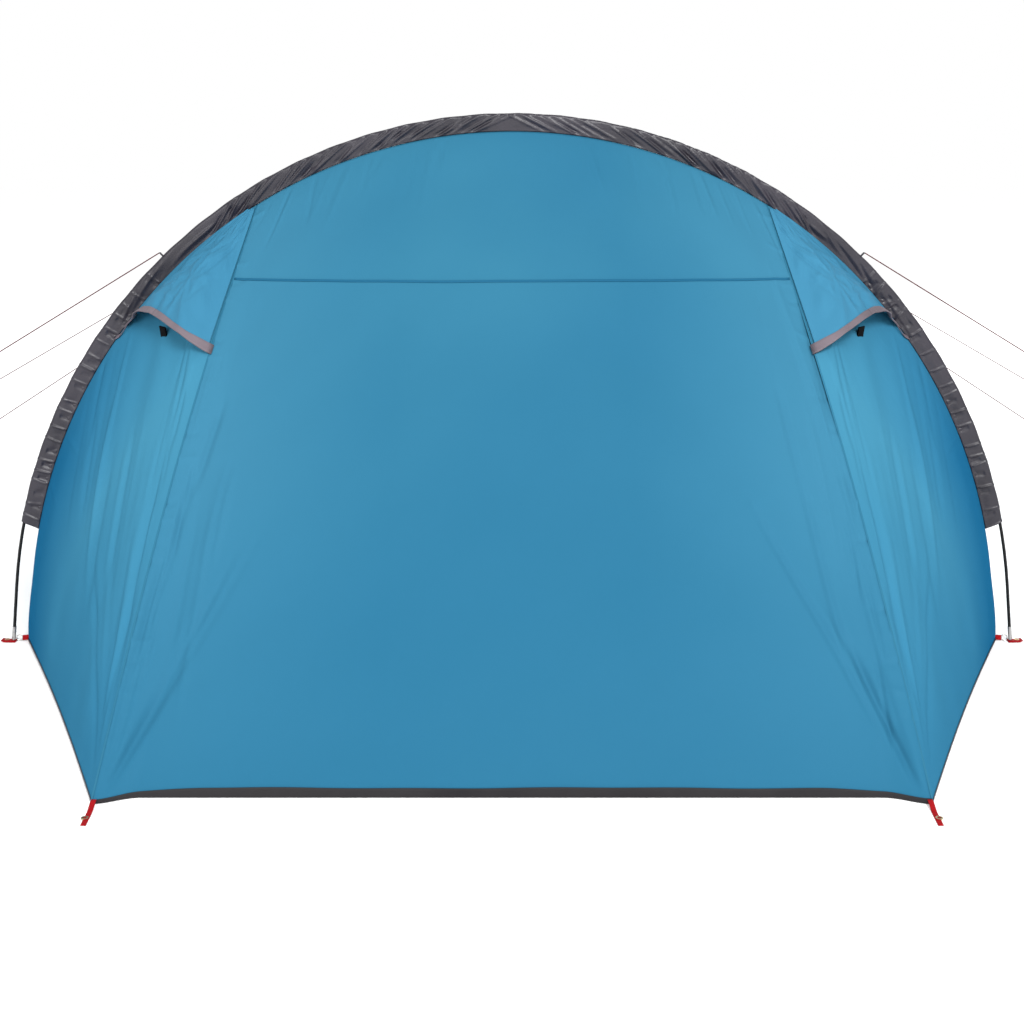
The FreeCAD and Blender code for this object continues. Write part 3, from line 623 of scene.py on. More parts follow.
def rear_panel_relief(u, v):
    x = (2 * u - 1) * (0.72 + 0.13 * v)
    y = v * PANEL_LENGTH
    inner = inside(u, 12, 12)
    soft = waves(x, y, 5, 7, (0.35, 0.9), 0.009) + waves(x, y, 6, 5, (0.16, 0.3), 0.0022)
    ends = inside(v, 10, 14)
    return soft * inner * ends + folds(x, y, PANEL_LINES) * inside(v, 36, 36)


REAR_PANEL = Surface(rear_panel_base, rear_panel_relief)
HEM_BOW = 0.008               # the side hems bow inwards this much between their two ends


def gusset_base(side):
    def place(u, v):
        foot_angle = float(ground_angle(HOOP_RADIUS, HEM_HEIGHT / 2))
        angle = REAR_SEAM_ANGLE + EDGE_CLEARANCE + (foot_angle - REAR_SEAM_ANGLE - EDGE_CLEARANCE) * v
        hoop = on_hoop(HOOP_RADIUS, angle * side, REAR_HOOP_Y)
        flare = 0.010 * ease((v - 0.86) / 0.14)
        hoop = hoop + xyz(side * flare, 0.0, 0.0)
        points = mix(rear_seam(v, side), hoop, u)
        bow = HEM_BOW * bulge(u) * ease((v - 0.55) / 0.45)
        middle = ease(v * 3) * (1 - ease((v - 0.6) / 0.4))
        shift = 0.020 * np.sin(np.pi * np.clip(u, 0, 1) ** 0.8) * middle - bow
        return points + xyz(side * 0.91 * shift, -0.41 * shift, 0.0)
    return place


def gusset_lines():
    """Creases of a gusset, in metres aside from the middle and up: most of them hang plumb."""
    draw = random.Random(23).uniform
    lines = []
    for n in range(17):
        x = 0.83 + 0.019 * n + draw(-0.008, 0.008)
        top = draw(0.62, 0.92) - 0.9 * max(0.0, x - 1.02)
        lines.append((x, top, x + draw(-0.012, 0.008), top - draw(0.28, 0.55),
                      draw(0.006, 0.010), draw(-0.0066, 0.0058)))
    for n in range(10):
        reach = draw(0.30, 0.62)
        way = math.radians(draw(-2, 24))
        lines.append((0.853, 0.0, 0.86 + reach * math.sin(way), reach * math.cos(way), 0.010,
                      draw(-0.0062, 0.0060)))
    for n in range(9):
        angle = math.radians(56 + 4.2 * n + draw(-1.5, 1.5))
        reach = draw(0.04, 0.09)
        x, z = HOOP_RADIUS * math.sin(angle), HOOP_CENTRE_Z + HOOP_RADIUS * math.cos(angle)
        lines.append((x + 0.01, z, x - reach, z - reach * draw(0.4, 0.9), 0.006,
                      draw(-0.0030, 0.0034)))
    for n in range(22):
        z = draw(0.30, 0.98)
        reach = draw(0.10, 0.28)
        x = CORNER_HALF_WIDTH - SEAM_LEAN * z + draw(0.008, 0.050)
        foot_x = x + SEAM_LEAN * reach + draw(-0.010, 0.012)
        lines.append((x, z, foot_x, z - reach, 0.005, draw(-0.0040, 0.0030)))
    return lines


GUSSET_LINES = gusset_lines()


def gusset_relief(u, v):
    place = gusset_base(1)(u, v)
    x, z = place[..., 0], place[..., 2]
    soft = waves(x, z, 31, 6, (0.25, 0.6), 0.007, (-0.3, 0.3))
    soft = soft + waves(x, z, 33, 5, (0.06, 0.14), 0.0042, (-0.2, 0.2))
    edges = inside(u, 9, 9) * inside(v, 5, 12)
    return soft * edges + folds(x, z, GUSSET_LINES) * inside(u, 26, 14) * ease((1 - v) * 20)


GUSSETS = {side: Surface(gusset_base(sign), gusset_relief, sign) for side, sign in SIDES.items()}


VENT_TOP = 0.07               # shares down a gusset where the hole under its hood begins and ends
VENT_FOOT = 0.25
VENT_SEAM_SIDE = 0.25         # shares from the seam to the hoop
VENT_HOOP_SIDE = 0.86


def in_vent_opening(u, v):
    """The hole in a gusset, under its hood: its side by the hoop slants inwards as it goes down."""
    outer = VENT_HOOP_SIDE - 1.2 * (v - VENT_TOP)
    return (v > VENT_TOP) & (v < VENT_FOOT) & (u > VENT_SEAM_SIDE) & (u < outer)


def seam_tape(name, line, out, width, thickness):
    """A narrow tape over the seam that runs along a line."""
    across = np.cross(out, unit(np.gradient(line, axis=0)))
    sewn_strip("blue_flysheet", [], name, line + out * TAPE_OFFSET, across, out, width, thickness, BLUE)


def rear_wall():
    panel = cloth("rear_panel_cloth", REAR_PANEL, 300, 230, BLUE_PANEL_PAINTED_LIGHT_AND_SHADE, shares=fine_at_sides(300))
    belongs(panel, "tent", "blue_flysheet", "rear_panel")
    for side, sign in SIDES.items():
        gusset = cloth("rear_gusset_cloth_" + side, GUSSETS[side], 230, 200, BLUE_GUSSET_PAINTED_LIGHT_AND_SHADE,
                       keep=lambda u, v: ~in_vent_opening(u, v))
        belongs(gusset, "tent", "blue_flysheet", "rear_gusset_" + side)
        v = np.linspace(0.0, 1.0, 90)
        line, out = GUSSETS[side].at(np.full_like(v, 0.0), v)
        _, panel_out = REAR_PANEL.at(np.full_like(v, 0.5 + 0.5 * sign), v)
        seam_tape("rear_seam_tape_" + side, line, unit(out + panel_out), 0.005, 0.0005)
    u = np.linspace(0.004, 0.996, 140)
    top_z = HOOP_CENTRE_Z + HOOP_RADIUS * np.cos(np.radians(REAR_SEAM_ANGLE * (2 * u - 1)))
    line, out = REAR_PANEL.at(u, (top_z - CROSS_SEAM_Z) / (top_z - HEM_HEIGHT))
    down = xyz(0.0, REAR_EDGE_Y - REAR_HOOP_Y, -1.1)
    sewn_strip("blue_flysheet", [], "rear_cross_seam", line + out * 0.0003, down, out,
               0.007, 0.0016, BLUE_SEAM)


def rear_foot():
    """The dark hem band, which drops to the corners, and the piping along the side hems."""
    x = np.linspace(-CORNER_HALF_WIDTH, CORNER_HALF_WIDTH, 120)
    uneven = 0.0010 * np.sin(x * 9.0) + 0.0006 * np.sin(x * 23.0)
    width = foot_height(x) + 0.003 + uneven
    line = xyz(x, REAR_EDGE_Y + 0.0008 - corner_pull(x), 0.0008 + width / 2)
    sewn_strip("dark_hem", ["rear_hem"], "rear_hem_band", line, UP, -ALONG, width, 0.0022, HEM)
    u = np.linspace(0.0, 1.0, 60)
    for name, surfaces in (("rear", GUSSETS), ("front", FRONT_GUSSETS)):
        for side in SIDES:
            line, out = surfaces[side].at(u, np.full_like(u, 0.998))
            line = line + out * 0.001
            line[:, 2] = np.maximum(line[:, 2] - 0.003, 0.0028)
            piping = round_rod(name + "_piping_" + side, line, 0.0017, GREY)
            belongs(piping, "tent", "dark_hem", "side_piping")


# ---- The rear vents ----
HOOD_EDGE_SEAM = 0.305        # share down the seam where the hood's free edge ends
HOOD_EDGE_HOOP = 0.346        # the same along the hoop
HOOD_LIFT = 0.055             # how far the free edge stands off
SIDE_RISE = 0.075             # the hood rises to that within this distance of its sewn sides
HOOP_SIDE_RISE = 0.125        # the same beside the hoop, where it rises more slowly
BINDING_WIDTH = 0.018
HOOD_HOOP_ANGLE = 52.3        # where the line of the free edge meets the hoop
HOOD_FOOT = 0.985             # share down the hood where its cloth ends, under the binding


def vent_frame(sign):
    """The vent's corners and the direction out of the gusset there."""
    top = on_hoop(HOOP_RADIUS, REAR_SEAM_ANGLE * sign, REAR_HOOP_Y)
    foot = xyz(CORNER_HALF_WIDTH * sign, REAR_EDGE_Y, HEM_HEIGHT)
    seam_end = mix(top, foot, HOOD_EDGE_SEAM)
    hoop_end = on_hoop(HOOP_RADIUS, HOOD_HOOP_ANGLE * sign, REAR_HOOP_Y)
    outwards = unit(np.cross(seam_end - top, hoop_end - top))
    if outwards[2] < 0:
        outwards = -outwards
    return top, seam_end, hoop_end, outwards


def beside(point, a, b, outwards):
    """How far points lie from the line a-b, measured in the vent's plane."""
    along = unit(b - a)
    aside = unit(np.cross(along, outwards))
    return np.abs((point - a) @ aside)


def hood_surface(sign):
    top, seam_end, hoop_end, outwards = vent_frame(sign)
    gusset = gusset_base(sign)

    def place(u, s):
        arch = 0.034 * np.sin(np.pi * np.clip(u, 0, 1) ** 1.3)
        v = np.maximum(s, 0.0) * (HOOD_EDGE_SEAM + (HOOD_EDGE_HOOP - HOOD_EDGE_SEAM) * u - arch)
        point = gusset(np.clip(u, 0.004, 0.985), v)
        rise = np.minimum(ease(beside(point, top, seam_end, outwards) / SIDE_RISE),
                          ease(beside(point, top, hoop_end, outwards) / HOOP_SIDE_RISE))
        height = 0.004 + HOOD_LIFT * np.clip(s, 0, 1) * rise
        sag = 0.010 * np.sin(np.pi * np.clip(u, 0, 1) ** 0.75) * bulge(s)
        return point + outwards * (height + sag)[..., None]

    draw = random.Random(41).uniform
    lines = [(draw(0.1, 0.9), draw(-0.1, 0.5), draw(0.1, 0.9),
              draw(0.6, 1.1), draw(0.018, 0.034), draw(-0.0048, 0.0048))
             for _ in range(22)]
    lines += [(draw(0.0, 0.15), draw(0.1, 0.7), draw(0.25, 0.5),
               draw(0.5, 0.95), 0.016, draw(-0.0040, 0.0040)) for _ in range(10)]
    lines += [(draw(0.2, 0.8), draw(0.6, 0.85), draw(0.2, 0.9),
               draw(0.7, 0.98), 0.02, draw(-0.0046, 0.0040)) for _ in range(12)]

    def relief(u, s):
        return (folds(u, s, lines) + waves(u, s, 44, 6, (0.12, 0.3), 0.0050)) * inside(u, 8, 8)

    return Surface(place, relief, sign)


def vents():
    for side, sign in SIDES.items():
        top, seam_end, hoop_end, outwards = vent_frame(sign)
        surface = hood_surface(sign)
        halves = (("inner", (0.0, 0.5), seam_end, hoop_end), ("outer", (0.5, 1.0), hoop_end, seam_end))
        for half, u_range, sewn_end, far_end in halves:
            inwards = np.cross(unit(sewn_end - top), outwards)
            if np.dot(inwards, far_end - top) < 0:
                inwards = -inwards
            hood = cloth("vent_hood_cloth_" + half + "_" + side, surface, 50, 70, BLUE_WRINKLED_PAINTED_LIGHT,
                         u_range=u_range, v_range=(0.03, HOOD_FOOT))
            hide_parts("vent_hood_" + side)
            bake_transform(hood)
            u = np.linspace(*u_range, 40)
            line, out = surface.at(u, np.full_like(u, HOOD_FOOT))
            above, below = (surface.at(u, np.full_like(u, share))[0] for share in (0.95, 1.0))
            down = unit(below - above)
            wide = BINDING_WIDTH + 0.010 * ease(1.0 - u * 7)
            if half == "inner":
                line[0] = line[0] + unit(line[0] - line[3]) * 0.012
            binding = ribbon("vent_binding_tape_" + half + "_" + side, line - out * 0.0014,
                             down, out, wide, 0.0032, MAUVE)
            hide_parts("vent_binding_" + side)
            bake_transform(binding)
        t = np.linspace(0.0, 1.0, 14)
        line, _ = surface.at(0.93 + 0.06 * t, np.full_like(t, 0.995))
        tuck, tuck_out = GUSSETS[side].at(0.93 + 0.068 * t, 0.352 + 0.020 * t)
        line = mix(line, tuck + tuck_out * 0.003, ease(t * 1.6))
        sewn_strip("mauve_binding", [], "vent_binding_return_" + side, line, down[-1], tuck_out,
                   BINDING_WIDTH * 0.8, 0.0026, MAUVE)
        behind = Surface(gusset_base(sign), lambda u, v: np.full_like(u, -0.004), sign)
        net = cloth("vent_net_" + side, behind, 30, 30, NET, u_range=(0.2, 0.9), v_range=(0.055, 0.265))
        belongs(net, "tent", "vent_mesh", "vent_meshes")


# ---- Tunnel ----
SAG = 0.016                   # the flysheet draws in this much between two hoops


def tunnel_base(start, end, y_from, y_to, foot_z=None):
    """A piece of the tunnel: u runs from one hoop to the next, and v round the hoops."""
    def place(u, v):
        y = y_from + (y_to - y_from) * u
        radius = HOOP_RADIUS - SAG * bulge(u)
        last = end if foot_z is None else math.copysign(1.0, end) * ground_angle(radius, foot_z)
        return on_hoop(radius, start + (last - start) * v, y)
    return place


def tunnel_relief(seed):
    chance = random.Random(seed)
    draw = chance.uniform
    lines = []
    for _ in range(16):
        end = chance.choice((0.0, 1.0))
        u1 = abs(end - draw(0.15, 0.5))
        v = draw(0.0, 1.0)
        lines.append((end, v, u1, v + draw(-0.05, 0.05), 0.010, draw(-0.003, 0.003)))

    def relief(u, v):
        soft = uneven(u, v, seed, 0.008, 0.002)
        return (soft + folds(u, v, lines)) * inside(u, 14, 14) * inside(v, 20, 20)
    return relief


def tunnel():
    bays = (("rear", REAR_HOOP_Y, MIDDLE_HOOP_Y), ("front", MIDDLE_HOOP_Y, FRONT_HOOP_Y))
    for number, (bay, y_from, y_to) in enumerate(bays):
        roof_base = tunnel_base(-ROOF_HALF_ANGLE, ROOF_HALF_ANGLE, y_from, y_to)
        roof_surface = Surface(roof_base, tunnel_relief(50 + number), 1)
        roof = cloth("fly_" + bay + "_roof_cloth", roof_surface, 110, 110, BLUE)
        belongs(roof, "tent", "blue_flysheet", "fly_" + bay + "_roof")
        for side, sign in SIDES.items():
            wall_base = tunnel_base(ROOF_HALF_ANGLE * sign, 90.0 * sign, y_from, y_to, WALL_FOOT_Z)
            wall = cloth("fly_" + bay + "_" + side + "_cloth",
                         Surface(wall_base, tunnel_relief(60 + number * 5 + sign), sign), 110, 100, BLUE)
            belongs(wall, "tent", "blue_flysheet", "fly_" + bay + "_" + side)
            u = np.linspace(0.004, 0.996, 100)
            line, out = Surface(roof_base, None, 1).at(u, np.full_like(u, 0.0 if sign < 0 else 1.0))
            sewn_strip("blue_flysheet", [], "fly_" + bay + "_seam_" + side, line - out * TAPE_OFFSET,
                       np.cross(out, ALONG), out, 0.012, 0.0013, BLUE)
            line, out = Surface(wall_base, None, sign).at(u, np.full_like(u, 0.994))
            sewn_strip("dark_hem", [], "fly_" + bay + "_hem_" + side, line - out * TAPE_OFFSET,
                       np.cross(out, ALONG), out, 0.014, 0.0014, HEM)


# ---- Front wall ----
FRONT_DOWN = unit(xyz(0.0, FRONT_EDGE_Y - FRONT_HOOP_Y, HEM_HEIGHT - LINTEL_Z))
FRONT_OUT = np.cross(ASIDE, FRONT_DOWN)
SLOPE_LENGTH = math.hypot(FRONT_EDGE_Y - FRONT_HOOP_Y, LINTEL_Z - HEM_HEIGHT)
LINTEL_HALF = math.sqrt(HOOP_RADIUS ** 2 - (LINTEL_Z - HOOP_CENTRE_Z) ** 2)
LINTEL_ANGLE = float(ground_angle(HOOP_RADIUS, LINTEL_Z))


def on_slope(x, down, out=0.0):
    """A point of the sloping front: across, down the slope, and out from its outer face."""
    down, out = (np.asarray(share, float)[..., None] for share in (down, out))
    return xyz(x, FRONT_HOOP_Y, LINTEL_Z) + FRONT_DOWN * down + FRONT_OUT * out


def door_half(down):
    return DOOR_TOP_HALF + (DOOR_FOOT_HALF - DOOR_TOP_HALF) * down / SLOPE_LENGTH


def corner_half(down):
    return LINTEL_HALF + (CORNER_HALF_WIDTH - LINTEL_HALF) * down / SLOPE_LENGTH


def front_gusset_base(sign):
    def place(u, v):
        foot_angle = float(ground_angle(HOOP_RADIUS, HEM_HEIGHT / 2))
        angle = LINTEL_ANGLE + EDGE_CLEARANCE + (foot_angle - LINTEL_ANGLE - EDGE_CLEARANCE) * v
        hoop = on_hoop(HOOP_RADIUS, angle * sign, FRONT_HOOP_Y)
        seam = on_slope(corner_half(v * SLOPE_LENGTH) * sign, v * SLOPE_LENGTH)
        points = mix(hoop, seam, u)
        bow = 0.012 * bulge(u) * ease((v - 0.55) / 0.45)
        return points - xyz(sign * 0.78 * bow, 0.62 * bow, 0.0)
    return place


def front_gusset_relief(u, v):
    soft = waves(u, v, 71, 6, (0.2, 0.5), 0.006, (-0.3, 0.3))
    soft = soft + waves(u, v, 72, 6, (0.05, 0.1), 0.002, (-0.1, 0.1))
    return (soft + folds(1 - u, v, GUSSET_LINES) * 0.7) * inside(u, 9, 9) * inside(v, 5, 12)


FRONT_GUSSETS = {side: Surface(front_gusset_base(sign), front_gusset_relief, sign)
                 for side, sign in SIDES.items()}


def slope_relief(seed, height):
    draw = random.Random(seed).uniform
    lines = [(draw(0.0, 1.0), draw(-0.1, 0.5), draw(0.0, 1.0),
              draw(0.6, 1.1), 0.02, draw(-height, height)) for _ in range(10)]

    def relief(u, v):
        soft = uneven(u, v, seed, height * 2.0, height * 0.6)
        return (soft + folds(u, v, lines)) * inside(u, 12, 12) * inside(v, 12, 12)
    return relief


def front_wall():
    def lunette_base(u, v):
        angle = LINTEL_ANGLE * (1 - 2 * u)
        rim = on_hoop(HOOP_RADIUS - 0.0018, angle, FRONT_HOOP_Y)
        sill = xyz(rim[..., 0], FRONT_HOOP_Y, LINTEL_Z)
        return mix(rim, sill, v)
    lunette = cloth("front_lunette_cloth", Surface(lunette_base, slope_relief(80, 0.0015), 1), 120, 40, BLUE)
    belongs(lunette, "tent", "blue_flysheet", "front_lunette")

    x = np.linspace(LINTEL_HALF - 0.006, -LINTEL_HALF + 0.006, 120)
    sewn_strip("blue_flysheet", [], "front_lintel_tape", on_slope(x, np.full_like(x, 0.001), 0.0003),
               FRONT_DOWN, FRONT_OUT, 0.012, 0.0014, BLUE)

    for side, sign in SIDES.items():
        gusset = cloth("front_gusset_cloth_" + side, FRONT_GUSSETS[side], 90, 110, BLUE_WRINKLED_PAINTED_LIGHT)
        belongs(gusset, "tent", "blue_flysheet", "front_gusset_" + side)

        def flank_base(u, v, sign=sign):
            down = DOOR_DROP + (SLOPE_LENGTH - DOOR_DROP) * v
            outer = corner_half(down) - 0.0005
            inner = door_half(down) + DOOR_GAP
            return on_slope(sign * (outer + (inner - outer) * u), down)
        flank_surface = Surface(flank_base, slope_relief(84, 0.0010), sign)
        flank = cloth("front_flank_cloth_" + side, flank_surface, 50, 110, BLUE)
        belongs(flank, "tent", "blue_flysheet", "front_flank_" + side)
        v = np.linspace(0.0, 1.0, 80)
        line, out = FRONT_GUSSETS[side].at(np.full_like(v, 1.0), v)
        seam_tape("front_seam_tape_" + side, line, out, 0.011, 0.0012)

        x = np.linspace(DOOR_FOOT_HALF + 0.004, CORNER_HALF_WIDTH, 30) * sign
        sewn_strip("dark_hem", ["front_hem"], "front_hem_band_" + side,
                   xyz(x, FRONT_EDGE_Y - 0.0008, 0.0075), UP, ALONG, 0.015, 0.0022, HEM)

        down = np.linspace(0.040, SLOPE_LENGTH - 0.020, 120)
        line = on_slope(sign * (door_half(down) + DOOR_GAP + 0.007), down, TAPE_OFFSET)
        sewn_strip("zip_tape", ["door_zips"], "door_zip_tape_" + side, line, ASIDE, FRONT_OUT,
                   0.012, 0.0012, ZIP)
        belongs(door_tie(sign, side), "tent", "red_webbing", "door_ties")

    def door_base(u, v):
        down = DOOR_DROP + (SLOPE_LENGTH - DOOR_DROP) * v
        return on_slope(door_half(down) * (1 - 2 * u), down)
    door = cloth("front_door_cloth", Surface(door_base, slope_relief(90, 0.0012), 1), 120, 120, BLUE)
    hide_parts("front_door")
    tuple(on_slope(0.0, DOOR_DROP))
    tuple(on_slope(0.0, DOOR_BEND))
    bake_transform(door)
    x = np.linspace(-DOOR_FOOT_HALF, DOOR_FOOT_HALF, 90)
    band = ribbon("door_hem_band", xyz(x, FRONT_EDGE_Y - 0.0008, 0.0085 + 0.0006 * np.sin(x * 14)),
                  UP, ALONG, 0.013, 0.0022, HEM)
    belongs(band, "front_door", "dark_hem", "door_hem")


def door_tie(sign, side):
    """A strap sewn above the door, with a toggle in the loop at its foot."""
    low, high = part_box("door_ties")
    x = 0.380 * sign
    z = np.linspace(high.z, low.z + 0.004, 16)
    sway = 0.0006 * np.sin(np.linspace(0.0, 3.0, 16))
    line = xyz(np.full_like(z, x), FRONT_HOOP_Y + 0.0006 + np.abs(sway), z)
    strap = ribbon("door_tie_strap_" + side, line, ASIDE, ALONG, 0.016, 0.0014, RED)
    t = np.linspace(-1.0, 1.0, 14)
    line = xyz(x + t * 0.018, FRONT_HOOP_Y + 0.0058, z[-1] + 0.003)
    rod = round_rod("door_tie_toggle_" + side, line, 0.0038, BLACK, 10)
    rod.parent = strap
    return strap


# ---- Sleeping room and groundsheet ----
FLOOR_INSET = 0.014
FLOOR_FRONT_INSET = 3 * FLOOR_INSET
FLOOR_HALF_WIDTH = 1.280


def sleeping_room():
    low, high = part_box("inner_door")
    radius = HOOP_RADIUS - 0.0075
    gap = DOOR_GAP

    def side_part(sign):
        def place(u, v):
            z = high.z + gap + (WALL_FOOT_Z - high.z - gap) * v
            rim = np.sqrt(np.maximum(radius ** 2 - (z - HOOP_CENTRE_Z) ** 2, 0.0))
            inner = high.x + gap
            x = rim + (inner - rim) * u if sign > 0 else -inner - (rim - inner) * u
            return xyz(x, DIVIDER_Y, z)
        return place

    def top_part(u, v):
        x_edge = math.sqrt(radius ** 2 - (high.z + gap - HOOP_CENTRE_Z) ** 2)
        x = x_edge * (1 - 2 * u)
        rim = HOOP_CENTRE_Z + np.sqrt(np.maximum(radius ** 2 - x ** 2, 0.0))
        return xyz(x, DIVIDER_Y, rim + (high.z + gap - rim) * v)

    def foot_part(u, v):
        x = (high.x + gap) * (1 - 2 * u)
        return xyz(x, DIVIDER_Y, low.z - gap + (WALL_FOOT_Z - low.z + gap) * v)

    parts = [("divider_right", side_part(1), 90, 100, 95, (0.99, 1.10), 0.95),
             ("divider_left", side_part(-1), 90, 100, 97, (0.99, 1.10), 0.95),
             ("divider_top", top_part, 100, 40, 99, (1.58, 0.27), 0.29),
             ("divider_sill", foot_part, 60, 8, 101, (0.60, 0.055), 0.033)]
    for name, place, columns, rows, seed, flat, area in parts:
        piece = cloth(name, Surface(place, slope_relief(seed, 0.0012), 1), columns, rows, INNER)
        belongs(piece, "tent", "inner_cloth", "divider")

    def door_place(u, v):
        return xyz(high.x + (low.x - high.x) * u, DIVIDER_Y, high.z + (low.z - high.z) * v)
    door = cloth("inner_door_cloth", Surface(door_place, slope_relief(103, 0.0010), 1), 60, 90, INNER)
    belongs(door, "inner_door", "inner_cloth", "inner_door")

    zip_low, zip_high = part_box("inner_zip")
    z = np.linspace(zip_high.z, zip_low.z, 100)
    line = xyz((zip_low.x + zip_high.x) / 2, DIVIDER_Y + TAPE_OFFSET, z)
    sewn_strip("zip_tape", ["inner_zip"], "inner_zip_tape", line, ASIDE, ALONG, 0.010, 0.0012, ZIP)

    def floor_base(u, v):
        rear_y, front_y = REAR_EDGE_Y + FLOOR_INSET, FRONT_EDGE_Y - FLOOR_FRONT_INSET
        y = front_y + (rear_y - front_y) * v
        end_half = CORNER_HALF_WIDTH - FLOOR_INSET
        corners_y = [rear_y, REAR_HOOP_Y + FLOOR_INSET, FRONT_HOOP_Y - FLOOR_INSET, front_y]
        half = np.interp(y, corners_y, [end_half, FLOOR_HALF_WIDTH, FLOOR_HALF_WIDTH, end_half])
        return xyz(half * (1 - 2 * u), y, 0.0016)

    def floor_relief(u, v):
        return (waves(u, v, 105, 8, (0.1, 0.4), 0.0007) + 0.0008) * inside(u, 14, 14)
    floor = cloth("groundsheet_cloth", Surface(floor_base, floor_relief, 1), 110, 160, FLOOR_CLOTH,
                  thickness=0.0012)
    belongs(floor, "tent", "groundsheet_cloth", "groundsheet")


# ---- Pole sleeves, straps and tabs ----
SLEEVE_TOP = POLE_LINE_RADIUS + 0.007
TUBE_RADIUS = 0.0068          # of the sleeve's cloth where it goes round the pole
GUY_TAB_ANGLE = 44.5


def sleeve_relief(arc, radius, seed):
    """Folds of a sleeve: slanting pleats near its top, short sharp cross creases lower down."""
    draw = random.Random(seed).uniform
    lines = []
    for sign in (-1, 1):
        for n in range(30):
            start = sign * (0.028 * n - 0.045 + draw(-0.008, 0.008))
            lean = sign * draw(0.14, 0.23)
            strong = 2.1 if n > 14 else 1.5
            lines.append((start, 0.062, start + lean, -0.016, draw(0.0026, 0.0042),
                          strong * draw(0.0020, 0.0036)))
            lines.append((start + sign * 0.014, 0.058, start + sign * 0.014 + lean, -0.016, 0.005,
                          -strong * draw(0.0010, 0.0022)))
        for n in range(8):
            start = sign * (0.78 + 0.05 * n)
            lines.append((start, draw(0.02, 0.05), start + sign * draw(0.10, 0.22),
                          draw(-0.005, 0.03), 0.0045, draw(-0.0034, 0.0034)))
        position = 1.10
        while position < 1.88:
            tilt = draw(-0.014, 0.018)
            lines.append((sign * position, -0.03, sign * (position + tilt), 0.075, draw(0.0024, 0.0036),
                          draw(0.0024, 0.0046)))
            lines.append((sign * (position + 0.014), -0.03, sign * (position + 0.019 - tilt), 0.046, 0.0085,
                          draw(-0.0046, -0.0020)))
            position += draw(0.030, 0.060)
    return folds(arc, radius - HOOP_RADIUS, lines)


def sleeve(name, y):
    """The grey cloth tube round the pole, with the flat tail that is sewn to the flysheet."""
    angles = np.linspace(-SLEEVE_END, SLEEVE_END, 1700 if name == "rear" else 900)
    tail, neck = 15, 7
    radii = list(np.linspace(HOOP_RADIUS + 0.0002, POLE_LINE_RADIUS, tail))
    section = [(r, -0.0016 - 0.0052 * float(ease((r - HOOP_RADIUS) / 0.034))) for r in radii]
    for n in range(1, neck):
        turn = math.pi * n / neck
        section.append((POLE_LINE_RADIUS + TUBE_RADIUS * math.sin(turn), -TUBE_RADIUS * math.cos(turn)))
    section += [(r, -w) for r, w in reversed(section[:tail])]
    radius = np.array([r for r, _ in section])[None, :]
    aside = np.array([w for _, w in section])[None, :]
    degrees = angles[:, None]
    arc = np.radians(degrees) * POLE_LINE_RADIUS
    over_pole = ease((radius - POLE_LINE_RADIUS + 0.016) / 0.008)
    folded = np.maximum(sleeve_relief(arc, radius, 7 + len(name)), -0.006 * (1.0 - over_pole))
    wide = waves(arc, radius * 3, 17 + len(name), 6, (0.10, 0.35), 0.0012) * (1.0 - over_pole)
    out = aside + np.sign(aside) * (folded + wide) * ease((radius - HOOP_RADIUS) / 0.010)
    near_end = ease((np.abs(degrees) - 76) / 4)
    slant = np.sign(degrees) * 0.6 * (1 - (radius - HOOP_RADIUS) / 0.049) * near_end
    ripple = 0.0006 * np.sin(arc * 60.0) * ease((radius - 1.335) / 0.01)
    place = on_hoop(radius + ripple, degrees + slant, y + out)
    run = np.cumsum([0.0] + [math.dist(a, b) for a, b in zip(section, section[1:])])
    uvs = np.stack(np.broadcast_arrays(run, arc), axis=-1).reshape(-1, 2)
    faces = grid_faces(len(angles) - 1, len(section) - 1, False)
    piece = mesh_piece("sleeve_cloth_" + name, place.reshape(-1, 3), faces, uvs, GREY)
    thicken(piece, 0.0006, 0.0)
    belongs(piece, "tent", "grey_sleeve_cloth", "sleeve_" + name)


def straps():
    """The foot straps and guy tabs at both ends of each hoop, and the straps at the four corners."""
    t = np.linspace(0.0, 1.0, 12)
    for name, y in zip(HOOPS, HOOP_YS):
        for side, sign in SIDES.items():
            line = xyz(sign * (1.298 + 0.0255 * t), y, 0.012 - 0.002 * t)
            sewn_strip("red_webbing", ["webbing_straps"], "foot_strap_inner_" + name + "_" + side,
                       line, UP, -ALONG, 0.014, 0.0016, RED)
            line = xyz(sign * (1.3405 + 0.0385 * t), y, 0.0006 + 0.0030 * ease((t - 0.75) / 0.25))
            sewn_strip("red_webbing", ["webbing_straps"], "foot_strap_outer_" + name + "_" + side,
                       line, ALONG, UP, 0.026 - 0.004 * t, 0.0024, RED)
            start, end = (on_hoop(SLEEVE_TOP + rise, GUY_TAB_ANGLE * sign, y) for rise in (-0.002, 0.012))
            sewn_strip("grey_webbing", ["guy_tabs"], "guy_tab_tape_" + name + "_" + side,
                       mix(start, end, t), ALONG, np.cross(end - start, ALONG) * sign,
                       0.014, 0.0024, DARK_TAPE)
    t = np.linspace(0.0, 1.0, 30)
    for wall, edge_y, way, start in (("rear", REAR_EDGE_Y, -1.0, 0.002 + CORNER_PULL),
                                     ("front", FRONT_EDGE_Y, 1.0, 0.002)):
        for side, sign in SIDES.items():
            line = xyz(sign * (0.8445 - 0.006 * t), edge_y + way * (start + (0.128 - start) * t),
                       0.0085 * (1 - ease(t * 2.2)) + 0.0004)
            sewn_strip("red_webbing", ["webbing_straps"], "corner_strap_" + wall + "_" + side,
                       line, ASIDE, UP, 0.011, 0.0018, RED)


